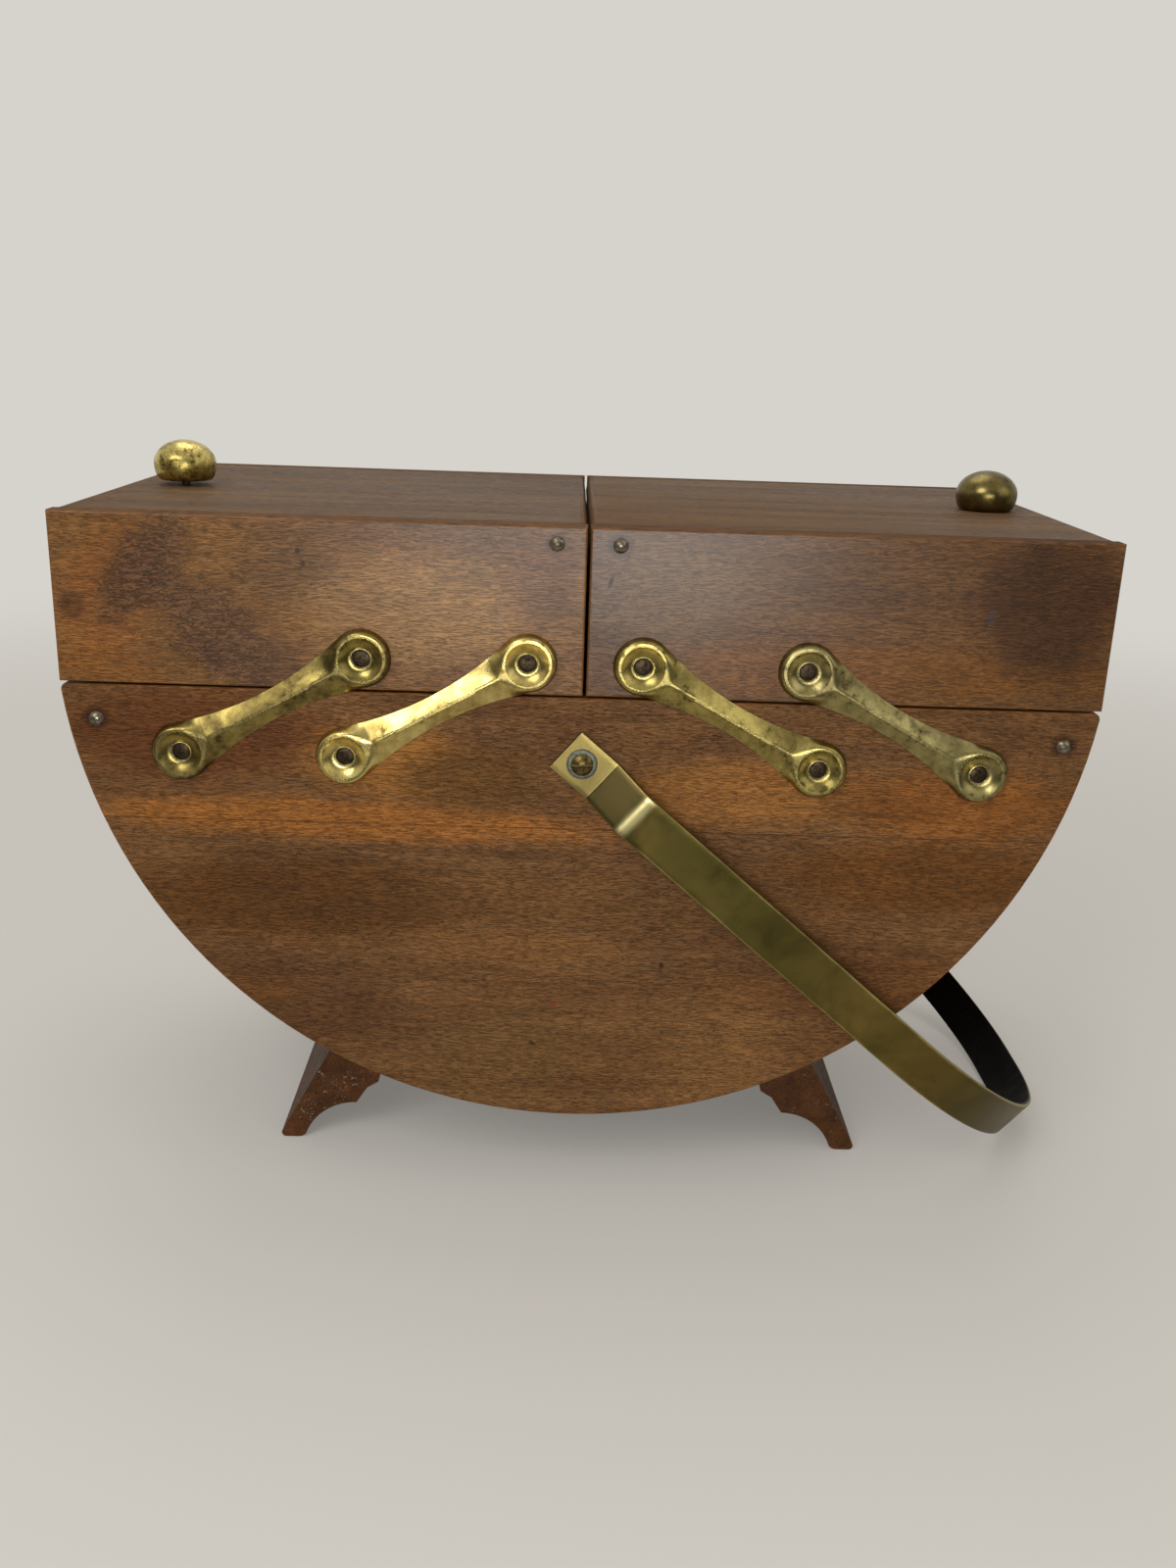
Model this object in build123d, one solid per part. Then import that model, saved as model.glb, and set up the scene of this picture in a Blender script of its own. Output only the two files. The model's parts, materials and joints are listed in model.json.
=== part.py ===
from build123d import *
from math import asin, atan2, cos, degrees, radians, sin, sqrt
import os

os.makedirs("parts", exist_ok=True)

# A half-round wooden sewing box on two rail feet. Two lidded trays ride on stamped
# brass arms and swing out to the sides. A brass strap handle folds down to the floor.
# Millimetres. +X right, +Y back, +Z up, floor at Z = 0.

# Case
case_length = 400.0         # over both closed trays
case_depth = 203.5          # over the front and back panels
panel_thickness = 8.5
edge_round = 0.8
joint_gap = 0.1             # room at glued and grooved wood joints
cut_margin = 5.0            # cutting shapes run this far past what they cut

# Lower body: a circle segment, closed by a bent plywood skin
body_clearance = 36.5       # lowest point of the round body above the floor
body_centre_over_rim = 19.5
rim_corner_round = 2.5
skin_thickness = 4.0
skin_inset = 2.5            # panel outline stands this far outside the skin
groove_depth = 3.0          # grooves that hold the skin and the tray bottoms
end_rail_inset = 22.0       # inner face, from the end of the case
end_rail_height = 27.0

# Feet: two bracket rails across the depth
foot_setback = 36.0         # behind the panel faces
foot_tip_inset = 68.6       # outer corner on the floor, from the end of the case
foot_lean = 28.6            # degrees of the outer face from upright
foot_cove_radius = 24.3
foot_cove_inset = 35.4      # centre of the cove, in from the outer corner
foot_cove_drop = 6.0        # centre of the cove under the floor line
foot_step_run = 5.0
foot_step_rise = 7.7
foot_neck_run = 5.0         # from the top of the step to the neck
foot_neck_rise = 3.0
foot_neck_lean = 11.0       # degrees
foot_toe_round = 2.0
foot_heel_round = 4.0
foot_screw_spacing = 84.0
foot_screw_inset = 43.4     # in from the outer corner
foot_screw_length = 18.0

# Trays
seam_gap = 0.8              # between the rim and a closed tray
tray_gap = 1.2              # between the two trays
tray_height = 64.4
end_wall_thickness = 8.0
tray_bottom_thickness = 4.0
tray_bottom_lift = 2.0

# Lids
lid_thickness = 10.0
lid_side_gap = 0.6
lid_end_inset = 1.7
lid_rest_gap = 0.3
lid_pin_inset = 11.2        # pin axis from the tray's inner end
lid_pin_drop = 6.5          # pin axis under the tray's top edge
lid_tail_gap = 0.4          # between the lid's inner end and the tray's end
lid_nose_round = 3.0        # upper corner of the lid's inner end

# Knobs
knob_diameter = 26.2
knob_height = 17.0
knob_belly_height = 7.0
knob_foot_diameter = 20.4
knob_inset = 24.8           # from the end of the case
quarter_pull = 0.5523       # control points of a curve that follows a quarter ellipse
knob_stand = {"left": 1.9, "right": 0.0}  # the left one has worked loose
knob_screw_diameter = 3.8
knob_screw_bite = 9.0

# Brass arms
arm_pitch = 80.0            # pivot to pivot
arm_closed_angle = 29.0     # degrees above level, leaning to the centre
arm_pivot_drop = 25.6       # lower pivots under the rim
outer_pivot_inset = 45.0    # from the end of the case
inner_eye_gap = 11.2        # between the seam and the inner arm's upper eye
eye_radius = 10.8
waist_half_width = 5.6
arm_height = 3.6            # highest line above the wood
arm_skirt_lift = 0.4
arm_sheet = 0.9
cup_rim_radius = 8.6
cup_rim_width = 0.6
cup_floor_radius = 4.6
ridge_half_width = 0.6
ridge_fork_radius = 5.0
running_gap = 0.1           # between a turning piece and what it turns on

# Bushes and screws of the arms
bush_radius = 3.0
bush_flange_radius = 4.1
bush_flange_thickness = 0.8
screw_radius = 1.6
screw_length = 7.0          # into the wood
screw_head_sink = 0.45
cross_length = 3.0
cross_width = 0.7
cross_depth = 0.7

# Domed nails
nail_head_radius = 2.9
nail_head_height = 1.7
nail_head_edge = 0.3
nail_radius = 1.1
nail_bite = 12.0            # into what is behind the panel
base_nail_inset = 13.0      # from the end of the case
base_nail_drop = 13.5

# Handle
strap_width = 19.0
strap_thickness = 2.0
handle_side_gap = 9.25      # between a panel and a limb
handle_swing_gap = 2.0      # between the bow and the corners that it swings past
bow_flat = 16.0             # straight stretch across the middle of the bow
tab_overhang = 8.5          # past the pivot
tab_crease = 11.0           # pivot to the first bend
ramp_run = 15.0
crease_radius = 2.0
shoulder_bend_radius = 7.0
washer_radius = 6.0
washer_thickness = 1.0
pivot_screw_radius = 2.5
pivot_head_radius = 4.4
pivot_head_height = 2.4
pivot_head_edge = 0.5
pivot_thread_radius = 2.0
pivot_thread_length = 7.0
slot_width = 1.0
slot_depth = 0.9

# Worked out
half_length = case_length / 2
half_depth = case_depth / 2
inside_half_depth = half_depth - panel_thickness
body_radius = sqrt(half_length**2 + body_centre_over_rim**2)
body_centre = body_clearance + body_radius
rim_height = body_centre - body_centre_over_rim
skin_outer_radius = body_radius - skin_inset
skin_inner_radius = skin_outer_radius - skin_thickness
tray_floor = rim_height + seam_gap
tray_top = tray_floor + tray_height
tray_inner = tray_gap / 2
tray_outer = half_length
end_rail_reach = half_length - end_rail_inset
base_nail_reach = half_length - base_nail_inset
foot_tip_reach = half_length - foot_tip_inset
foot_cove_reach = foot_tip_reach - foot_cove_inset
foot_screw_reach = foot_tip_reach - foot_screw_inset
knob_reach = half_length - knob_inset
outer_pivot_reach = half_length - outer_pivot_inset
pivot_height = rim_height - arm_pivot_drop
arm_run = arm_pitch * cos(radians(arm_closed_angle))
arm_rise = arm_pitch * sin(radians(arm_closed_angle))
inner_pivot_reach = inner_eye_gap + eye_radius + arm_run
pin_reach = tray_inner + lid_pin_inset
pin_height = tray_top - lid_pin_drop
lid_floor = tray_top - lid_thickness
lid_tail_radius = lid_pin_inset - lid_tail_gap
# from the pin to the farthest point of the lid's rounded corner
lid_nose_sweep = lid_nose_round + sqrt((lid_tail_radius - lid_nose_round) ** 2
                                       + (lid_pin_drop - lid_nose_round) ** 2)
nail_length = panel_thickness + nail_bite
bush_sleeve = arm_sheet + 2 * running_gap
bush_height = bush_sleeve + bush_flange_thickness
strap_centre = half_depth + running_gap + strap_thickness / 2
limb_centre = half_depth + handle_side_gap + strap_thickness / 2
bow_radius = limb_centre - bow_flat / 2
bow_inner_radius = bow_radius - strap_thickness / 2
# how far the bow's middle stands past its place beside the panels
bow_rise = bow_inner_radius - sqrt(bow_inner_radius**2 - (half_depth - bow_flat / 2) ** 2)
tray_corner = sqrt(tray_outer**2 + (tray_top - pivot_height) ** 2)
handle_reach = tray_corner + handle_swing_gap + bow_rise + strap_thickness
handle_corner = sqrt(handle_reach**2 + (strap_width / 2) ** 2)
# degrees under level, with the bow's lower edge on the floor
handle_angle = degrees(asin(pivot_height / handle_corner)
                       - atan2(strap_width / 2, handle_reach))
handle_tip = (handle_reach * cos(radians(handle_angle))
              + strap_width / 2 * sin(radians(handle_angle)))
box_shift = -(handle_tip - half_length) / 2  # centres the whole on the origin

SIDES = {"left": -1, "right": 1}
FACES = {"front": -1, "back": 1}


def save(name, *solids):
    """Write one node, moved so that the origin is the middle of the footprint."""
    placed = [s.moved(Location((box_shift, 0, 0))) for s in solids]
    export_step(placed[0] if len(placed) == 1 else Compound(placed), f"parts/{name}.step")


def solid_of(shape):
    """The single solid of a result."""
    return shape.solids()[0]


def block(x0, x1, y0, y1, z0, z1):
    """A box between two corners."""
    centre = ((x0 + x1) / 2, (y0 + y1) / 2, (z0 + z1) / 2)
    return Pos(*centre) * Box(abs(x1 - x0), abs(y1 - y0), abs(z1 - z0))


def other_side(shape, side):
    """Pieces are drawn on the right, and mirrored for the left."""
    return shape if side == "right" else mirror(shape, Plane.YZ)


def other_face(shape, face):
    """Pieces are drawn at the front, and mirrored for the back."""
    return shape if face == "front" else mirror(shape, Plane.XZ)


def on_front(x, z, turn=0.0):
    """A place on the front face: local Z points out of the wood, local X leans by turn."""
    lean = radians(turn)
    plane = Plane((x, -half_depth, z), x_dir=(cos(lean), 0, sin(lean)), z_dir=(0, -1, 0))
    return plane.location


def slab(face, y0, y1):
    """Extrude a face drawn on XZ between two depths."""
    return Pos(0, y0, 0) * extrude(Plane.XZ * face, amount=y0 - y1)


def ring(outer, inner):
    """Ring of the body's circle, below the rim."""
    band = Pos(0, body_centre) * (Circle(outer) - Circle(inner))
    return band & Pos(0, rim_height - outer) * Rectangle(
        2 * (outer + cut_margin), 2 * outer)


def arm_pivots():
    """Lower pivots on the right: outer, then inner."""
    return (outer_pivot_reach, inner_pivot_reach)


# Wood: lower body

def base_panel():
    """Half-round front panel, with the skin's groove and the screw and nail holes."""
    segment = Pos(0, body_centre) * Circle(body_radius)
    segment &= Pos(0, rim_height - body_radius) * Rectangle(
        2 * (body_radius + cut_margin), 2 * body_radius)
    corners = segment.vertices().group_by(Axis.Y)[-1]
    segment = fillet(corners, rim_corner_round)
    panel = slab(segment, -inside_half_depth, -half_depth)
    panel = fillet(panel.faces().sort_by(Axis.Y)[0].edges(), edge_round)
    groove = ring(skin_outer_radius + joint_gap, skin_inner_radius - joint_gap)
    panel -= slab(groove, -inside_half_depth, -inside_half_depth - groove_depth)
    for side in SIDES.values():
        for reach in arm_pivots():
            panel -= on_front(side * reach, pivot_height) * pilot(screw_radius, screw_length)
        nail_at = on_front(side * base_nail_reach, rim_height - base_nail_drop)
        panel -= nail_at * pilot(nail_radius, nail_length)
    panel -= on_front(0, pivot_height) * pilot(pivot_thread_radius, pivot_thread_length)
    return solid_of(panel)


def pilot(radius, length):
    """A hole into the wood from its face."""
    return Pos(0, 0, -length / 2) * Cylinder(radius, length)


def base_skin():
    """Bent plywood bottom, held in the grooves of both panels."""
    reach = inside_half_depth + groove_depth
    skin = slab(ring(skin_outer_radius, skin_inner_radius), -reach, reach)
    for side in SIDES.values():
        for row in (-1, 1):
            skin -= foot_screw_place(side, row) * countersunk(screw_radius, foot_screw_length)
    return solid_of(skin)


def end_rail():
    """Rail inside the rim, nailed through both panels. Its outer face follows the skin."""
    face = Pos(0, body_centre) * Circle(skin_inner_radius - joint_gap)
    face &= Pos(end_rail_reach + body_radius / 2, rim_height - end_rail_height / 2) * Rectangle(
        body_radius, end_rail_height)
    rail = slab(face, -inside_half_depth, inside_half_depth)
    bore = on_front(base_nail_reach, rim_height - base_nail_drop) * pilot(
        nail_radius, nail_length)
    return solid_of(rail - bore - mirror(bore, Plane.XZ))


def foot():
    """Bracket rail: sloping outer face, flat tip, cove, and a small step to the neck."""
    skin_over_tip = body_centre - sqrt(skin_outer_radius**2 - foot_tip_reach**2)
    top = skin_over_tip + cut_margin
    slope = sin(radians(foot_lean)) / cos(radians(foot_lean))
    neck_slope = sin(radians(foot_neck_lean)) / cos(radians(foot_neck_lean))
    cove_top = (foot_cove_reach, foot_cove_radius - foot_cove_drop)
    cove_end = foot_cove_reach + sqrt(foot_cove_radius**2 - foot_cove_drop**2)
    diagonal = radians(45)
    cove_mid = (foot_cove_reach + foot_cove_radius * sin(diagonal),
                foot_cove_radius * cos(diagonal) - foot_cove_drop)
    step = (foot_cove_reach - foot_step_run, cove_top[1] + foot_step_rise)
    neck = (step[0] - foot_neck_run, step[1] + foot_neck_rise)
    neck_top = (neck[0] - neck_slope * (top - neck[1]), top)
    toe_top = (foot_tip_reach - slope * top, top)
    outline = Polyline((cove_end, 0), (foot_tip_reach, 0), toe_top, neck_top, neck, step,
                       cove_top)
    cove = ThreePointArc(cove_top, cove_mid, (cove_end, 0))
    profile = make_face([outline, cove])
    floor_ends = profile.vertices().group_by(Axis.Y)[0].sort_by(Axis.X)
    profile = fillet(floor_ends[0], foot_heel_round)
    profile = fillet(profile.vertices().group_by(Axis.Y)[0].sort_by(Axis.X)[-1], foot_toe_round)
    profile -= Pos(0, body_centre) * Circle(skin_outer_radius)
    reach = half_depth - foot_setback
    rail = slab(profile, -reach, reach)
    for row in (-1, 1):
        rail -= foot_screw_place(1, row) * countersunk(screw_radius, foot_screw_length)
    return solid_of(rail)


# Fasteners

def foot_screw_place(side, row):
    """On the skin's inner face, with local Z pointing to the middle of the box."""
    lean = asin(foot_screw_reach / skin_inner_radius)
    spot = (side * foot_screw_reach, row * foot_screw_spacing / 2,
            body_centre - skin_inner_radius * cos(lean))
    plane = Plane(spot, x_dir=(0, 1, 0), z_dir=(-side * sin(lean), 0, cos(lean)))
    return plane.location


def countersunk(radius, length):
    """Countersunk screw: its flat top sinks a little under local Z = 0."""
    head = 2 * radius
    profile = Polyline((0, -screw_head_sink), (head, -screw_head_sink),
                       (radius, -screw_head_sink - radius), (radius, -length), (0, -length),
                       close=True)
    return revolve(Plane.XZ * make_face(profile), Axis.Z)


def cross_recess(top):
    """Two crossed slots under a given height."""
    depth_at = Pos(0, 0, top - cross_depth / 2)
    return depth_at * (Box(cross_length, cross_width, cross_depth)
                       + Box(cross_width, cross_length, cross_depth))


def arm_screw():
    """Screw of an arm pivot: its cone sits in the bush, its shank in the wood."""
    top = bush_height - screw_head_sink
    rim = bush_bore_radius(top)
    profile = Polyline((0, top), (rim, top), (screw_radius, running_gap),
                       (screw_radius, -screw_length), (0, -screw_length), close=True)
    return solid_of(revolve(Plane.XZ * make_face(profile), Axis.Z) - cross_recess(top))


def bush_bore_radius(height):
    """Radius of the bush's conical bore at a height above the wood."""
    wide = bush_flange_radius - cup_rim_width
    share = (height - running_gap) / (bush_height - running_gap)
    return screw_radius + (wide - screw_radius) * share


def arm_bush():
    """Flanged bush that an arm turns on, with a conical bore for its screw."""
    profile = Polyline((screw_radius, 0), (bush_radius, 0), (bush_radius, bush_sleeve),
                       (bush_flange_radius, bush_sleeve), (bush_flange_radius, bush_height),
                       (bush_bore_radius(bush_height), bush_height),
                       (screw_radius, running_gap), close=True)
    return solid_of(revolve(Plane.XZ * make_face(profile), Axis.Z))


def dome(radius, base, top):
    """Arc from the edge of a round head to its highest point, centred on the axis."""
    rise = top - base
    ball = (radius**2 + rise**2) / (2 * rise)
    half_turn = asin(radius / ball) / 2
    middle = (ball * sin(half_turn), top - ball + ball * cos(half_turn))
    return ThreePointArc((radius, base), middle, (0, top))


def nail():
    """Domed nail: its head sits on the wood."""
    rest = Polyline((0, nail_head_height), (0, -nail_length), (nail_radius, -nail_length),
                    (nail_radius, 0), (nail_head_radius, 0), (nail_head_radius, nail_head_edge))
    crown = dome(nail_head_radius, nail_head_edge, nail_head_height)
    return solid_of(revolve(Plane.XZ * make_face([crown, rest]), Axis.Z))


def handle_screw():
    """Shouldered screw of the handle, with a domed, slotted head."""
    seat = running_gap * 2 + strap_thickness + washer_thickness
    edge = seat + pivot_head_edge
    top = seat + pivot_head_height
    rest = Polyline((0, top), (0, -pivot_thread_length), (pivot_thread_radius, -pivot_thread_length),
                    (pivot_thread_radius, 0), (pivot_screw_radius, 0), (pivot_screw_radius, seat),
                    (pivot_head_radius, seat), (pivot_head_radius, edge))
    screw = revolve(Plane.XZ * make_face([dome(pivot_head_radius, edge, top), rest]), Axis.Z)
    slot = Pos(0, 0, top) * Box(2 * (pivot_head_radius + cut_margin), slot_width,
                                2 * slot_depth)
    return solid_of(screw - slot)


def handle_washer():
    """Plain washer between the strap and the screw head."""
    low = running_gap * 2 + strap_thickness
    ring_face = Circle(washer_radius) - Circle(pivot_screw_radius)
    return solid_of(Pos(0, 0, low) * extrude(ring_face, amount=washer_thickness))


# Brass arms, drawn with the lower pivot at the origin and the upper one along local X

def flip(point):
    """The same place at the other eye."""
    return Vector(arm_pitch - point.X, point.Y)


def under(point):
    """The same place on the other edge of the arm."""
    return Vector(point.X, -point.Y)


def bow_point(centre, radius, one, other):
    """Middle of the short arc between two points of a circle."""
    toward = ((one - centre).normalized() + (other - centre).normalized()).normalized()
    return centre + toward * radius


def side_edge(start, middle, end):
    """Arc through three points, or a line where they are level."""
    level = 1e-6
    if abs(start.Y - middle.Y) < level and abs(end.Y - middle.Y) < level:
        return Line(start, end)
    return ThreePointArc(start, middle, end)


def arm_outline(eye, touch, shoulder, split, waist, height):
    """Two eyes joined by two hollow sides, as a face with eight edges."""
    across = [
        (touch, shoulder, split),
        (split, Vector(arm_pitch / 2, waist), flip(split)),
        (flip(split), flip(shoulder), flip(touch)),
        (flip(touch), Vector(arm_pitch + eye, 0), under(flip(touch))),
    ]
    back = [
        (under(flip(touch)), under(flip(shoulder)), under(flip(split))),
        (under(flip(split)), Vector(arm_pitch / 2, -waist), under(split)),
        (under(split), under(shoulder), under(touch)),
        (under(touch), Vector(-eye, 0), touch),
    ]
    edges = [side_edge(*points) for points in across + back]
    return Pos(0, 0, height) * make_face(edges)


def skirt_outline(eye, waist, height):
    """Lower edge of the arm: the sides are arcs that touch both eyes."""
    half = arm_pitch / 2
    bow = (half**2 + waist**2 - eye**2) / (2 * (eye - waist))
    centre = Vector(half, waist + bow)
    touch = centre.normalized() * eye
    fork = sqrt((cup_rim_radius + ridge_fork_radius) ** 2
                - (ridge_half_width + ridge_fork_radius) ** 2)
    split = Vector(fork, centre.Y - sqrt(bow**2 - (half - fork) ** 2))
    shoulder = bow_point(centre, bow, touch, split)
    return arm_outline(eye, touch, shoulder, split, waist, height)


def ridge_outline(eye, waist, height):
    """Upper edge of the arm: the narrow ridge forks round the rim of each cup."""
    reach = eye + ridge_fork_radius
    centre = Vector(sqrt(reach**2 - (waist + ridge_fork_radius) ** 2), waist + ridge_fork_radius)
    touch = centre * (eye / reach)
    split = Vector(centre.X, waist)
    shoulder = bow_point(centre, ridge_fork_radius, touch, split)
    return arm_outline(eye, touch, shoulder, split, waist, height)


def pressed_form(inset):
    """The arm's outer form, or with the sheet's thickness as inset, the hollow under it."""
    rise = arm_height - arm_skirt_lift
    eye_run = eye_radius - cup_rim_radius
    waist_run = waist_half_width - ridge_half_width
    eye_inset = inset * sqrt(rise**2 + eye_run**2) / rise
    waist_inset = inset * sqrt(rise**2 + waist_run**2) / rise
    drop = inset / rise
    low = skirt_outline(eye_radius - eye_inset, waist_half_width - waist_inset, arm_skirt_lift)
    high = ridge_outline(cup_rim_radius - eye_inset + drop * eye_run,
                         ridge_half_width - waist_inset + drop * waist_run,
                         arm_height - inset)
    return loft([low, high], ruled=True)


def arm():
    """Pressed brass arm: a ridge between two dished eyes, hollow at the back."""
    plate = pressed_form(0) - pressed_form(arm_sheet)
    rim = cup_rim_radius - cup_rim_width
    floor = running_gap + arm_sheet
    bore = bush_radius + running_gap
    wall = cup_rim_radius - cup_rim_width / 2
    above = arm_height + cut_margin
    hollow = Polyline((0, above), (rim, above), (rim, arm_height),
                      (cup_floor_radius, floor), (0, floor), close=True)
    cup = Polyline((wall, arm_height), (rim, arm_height), (cup_floor_radius, floor),
                   (bore, floor), (bore, running_gap),
                   (cup_floor_radius + wall - rim, running_gap),
                   (wall, arm_height - arm_sheet), close=True)
    for at in (0, arm_pitch):
        plate -= Pos(at, 0, 0) * revolve(Plane.XZ * make_face(hollow), Axis.Z)
        plate += Pos(at, 0, 0) * revolve(Plane.XZ * make_face(cup), Axis.Z)
    return solid_of(plate)


# Trays

def tray_pivot_reach():
    """Upper pivots on the right: outer, then inner."""
    return [reach - arm_run for reach in arm_pivots()]


def tray_groove(y0, y1, x0, x1):
    """Room for the edge of the tray bottom."""
    low = tray_floor + tray_bottom_lift - joint_gap
    return block(x0, x1, y0, y1, low, low + tray_bottom_thickness + 2 * joint_gap)


def tray_panel():
    """Front panel of the right tray, with the bottom's groove and the pivot holes."""
    panel = block(tray_inner, tray_outer, -half_depth, -inside_half_depth, tray_floor, tray_top)
    panel = fillet(panel.faces().sort_by(Axis.Y)[0].edges(), edge_round)
    panel -= tray_groove(-inside_half_depth - groove_depth, -inside_half_depth,
                         tray_inner + end_wall_thickness - groove_depth,
                         tray_outer - end_wall_thickness + groove_depth)
    for reach in tray_pivot_reach():
        panel -= on_front(reach, pivot_height + arm_rise) * pilot(screw_radius, screw_length)
    panel -= on_front(pin_reach, pin_height) * pilot(nail_radius, 2 * panel_thickness)
    return solid_of(panel)


def tray_wall(x0, x1, groove_x0, groove_x1, top):
    """End wall between the panels, grooved for the bottom."""
    wall = block(x0, x1, -inside_half_depth, inside_half_depth, tray_floor, top)
    groove = tray_groove(-inside_half_depth, inside_half_depth, groove_x0, groove_x1)
    return solid_of(wall - groove)


def tray_outer_wall():
    """The lid rests on this wall."""
    face = tray_outer - end_wall_thickness
    return tray_wall(face, tray_outer, face, face + groove_depth, lid_floor - lid_rest_gap)


def tray_inner_wall():
    """Lower than the outer wall, so that the lid's tail can turn over it."""
    face = tray_inner + end_wall_thickness
    top = pin_height - lid_nose_sweep - lid_side_gap
    return tray_wall(tray_inner, face, face - groove_depth, face, top)


def tray_bottom():
    """Thin panel held in the grooves of all four walls."""
    low = tray_floor + tray_bottom_lift
    reach = inside_half_depth + groove_depth
    edge = end_wall_thickness - groove_depth
    return block(tray_inner + edge, tray_outer - edge, -reach, reach,
                 low, low + tray_bottom_thickness)


# Lids and knobs

def lid_panel():
    """Lid between the tray's panels. Its inner end is rounded about the pin below it."""
    high = lid_pin_drop
    low = lid_pin_drop - lid_thickness
    outer = tray_outer - lid_end_inset - pin_reach
    half_turn = asin(-low / lid_tail_radius) / 2
    middle_tail = (-lid_tail_radius * cos(half_turn), -lid_tail_radius * sin(half_turn))
    low_tail = (-sqrt(lid_tail_radius**2 - low**2), low)
    tail = ThreePointArc((-lid_tail_radius, 0), middle_tail, low_tail)
    rest = Polyline(low_tail, (outer, low), (outer, high), (-lid_tail_radius, high),
                    (-lid_tail_radius, 0))
    reach = inside_half_depth - lid_side_gap
    lid = slab(Pos(pin_reach, pin_height) * make_face([tail, rest]), -reach, reach)
    lid = fillet(lid.faces().sort_by(Axis.X)[-1].edges().sort_by(Axis.Z)[-1], edge_round)
    lid = fillet(lid.faces().sort_by(Axis.X)[0].edges().sort_by(Axis.Z)[-1], lid_nose_round)
    bore = on_front(pin_reach, pin_height) * pilot(
        nail_radius + running_gap, nail_length + lid_side_gap)
    lid -= bore
    lid -= mirror(bore, Plane.XZ)
    lid -= knob_screw_place() * knob_screw_form(knob_screw_bite)
    return solid_of(lid)


def knob_screw_place():
    """Under the lid, with local Z pointing up through it."""
    return Location((knob_reach, 0, lid_floor))


def knob_screw_form(above):
    """Countersunk screw from under the lid, reaching a length above it."""
    shank = knob_screw_diameter / 2
    head = 2 * shank
    top = lid_thickness + above
    profile = Polyline((0, 0), (head, 0), (shank, head - shank), (shank, top), (0, top),
                       close=True)
    return revolve(Plane.XZ * make_face(profile), Axis.Z)


def knob(stand):
    """Flattened ball with a flat foot and a screw hole."""
    belly = knob_diameter / 2
    foot_half = knob_foot_diameter / 2
    crown = knob_height - knob_belly_height
    foot_pull = (belly - foot_half) * quarter_pull
    lower = Bezier((foot_half, 0), (foot_half + foot_pull, 0),
                   (belly, knob_belly_height * (1 - quarter_pull)), (belly, knob_belly_height))
    upper = Bezier((belly, knob_belly_height), (belly, knob_belly_height + crown * quarter_pull),
                   (belly * quarter_pull, knob_height), (0, knob_height))
    axis = Polyline((0, knob_height), (0, 0), (foot_half, 0))
    body = revolve(Plane.XZ * make_face([lower, upper, axis]), Axis.Z)
    hole = Pos(0, 0, knob_screw_bite / 2) * Cylinder(knob_screw_diameter / 2, knob_screw_bite)
    return Location((knob_reach, 0, tray_top + stand)) * solid_of(body - hole)


# Handle

def handle():
    """Brass strap bent to a long bow, with a joggle and a bored tab at each end."""
    end = handle_reach - strap_thickness / 2
    half_path = [(-tab_overhang, -strap_centre), (tab_crease, -strap_centre),
                 (tab_crease + ramp_run, -limb_centre), (end, -limb_centre)]
    path = half_path + [(x, -y) for x, y in reversed(half_path)]
    bends = [crease_radius, shoulder_bend_radius, bow_radius]
    line = FilletPolyline(*path, radius=bends + bends[::-1])
    section = Plane(path[0], x_dir=(0, 1, 0), z_dir=(1, 0, 0)) * Rectangle(
        strap_thickness, strap_width)
    strap = sweep(section, path=line)
    for sign in FACES.values():
        strap -= Pos(0, sign * strap_centre, 0) * Rot(90, 0, 0) * Cylinder(
            pivot_screw_radius + running_gap, strap_thickness + 2 * cut_margin)
    down = radians(handle_angle)
    lying = Plane((0, 0, pivot_height), x_dir=(cos(down), 0, -sin(down)),
                  z_dir=(sin(down), 0, cos(down)))
    return lying.location * solid_of(strap)


def write_base():
    """Lower body, feet and everything fixed to them."""
    for face in FACES:
        save(f"base_{face}_panel", other_face(base_panel(), face))
    save("base_skin", base_skin())
    for side in SIDES:
        save(f"{side}_end_rail", other_side(end_rail(), side))
        save(f"{side}_foot", other_side(foot(), side))
    nails, screws, bushes, washers, pivots = [], [], [], [], []
    for face in FACES:
        for side in SIDES.values():
            nail_at = on_front(side * base_nail_reach, rim_height - base_nail_drop)
            nails.append(other_face(nail_at * nail(), face))
            for reach in arm_pivots():
                place = on_front(side * reach, pivot_height)
                screws.append(other_face(place * arm_screw(), face))
                bushes.append(other_face(place * arm_bush(), face))
        place = on_front(0, pivot_height)
        pivots.append(other_face(place * handle_screw(), face))
        washers.append(other_face(place * handle_washer(), face))
    save("base_nails", *nails)
    save("base_arm_screws", *screws)
    save("base_arm_bushes", *bushes)
    save("handle_screws", *pivots)
    save("handle_washers", *washers)
    places = [foot_screw_place(side, row) for side in SIDES.values() for row in (-1, 1)]
    save("foot_screws", *[solid_of(place * countersunk(screw_radius, foot_screw_length)
                                   - place * cross_recess(-screw_head_sink))
                          for place in places])


def write_arms(side):
    """Outer and inner arms of one side, front and back."""
    pressed = arm()
    for name, reach in zip(("outer", "inner"), arm_pivots()):
        for face in FACES:
            placed = on_front(reach, pivot_height, 180 - arm_closed_angle) * pressed
            save(f"{side}_{name}_arm_{face}", other_side(other_face(placed, face), side))


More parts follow.
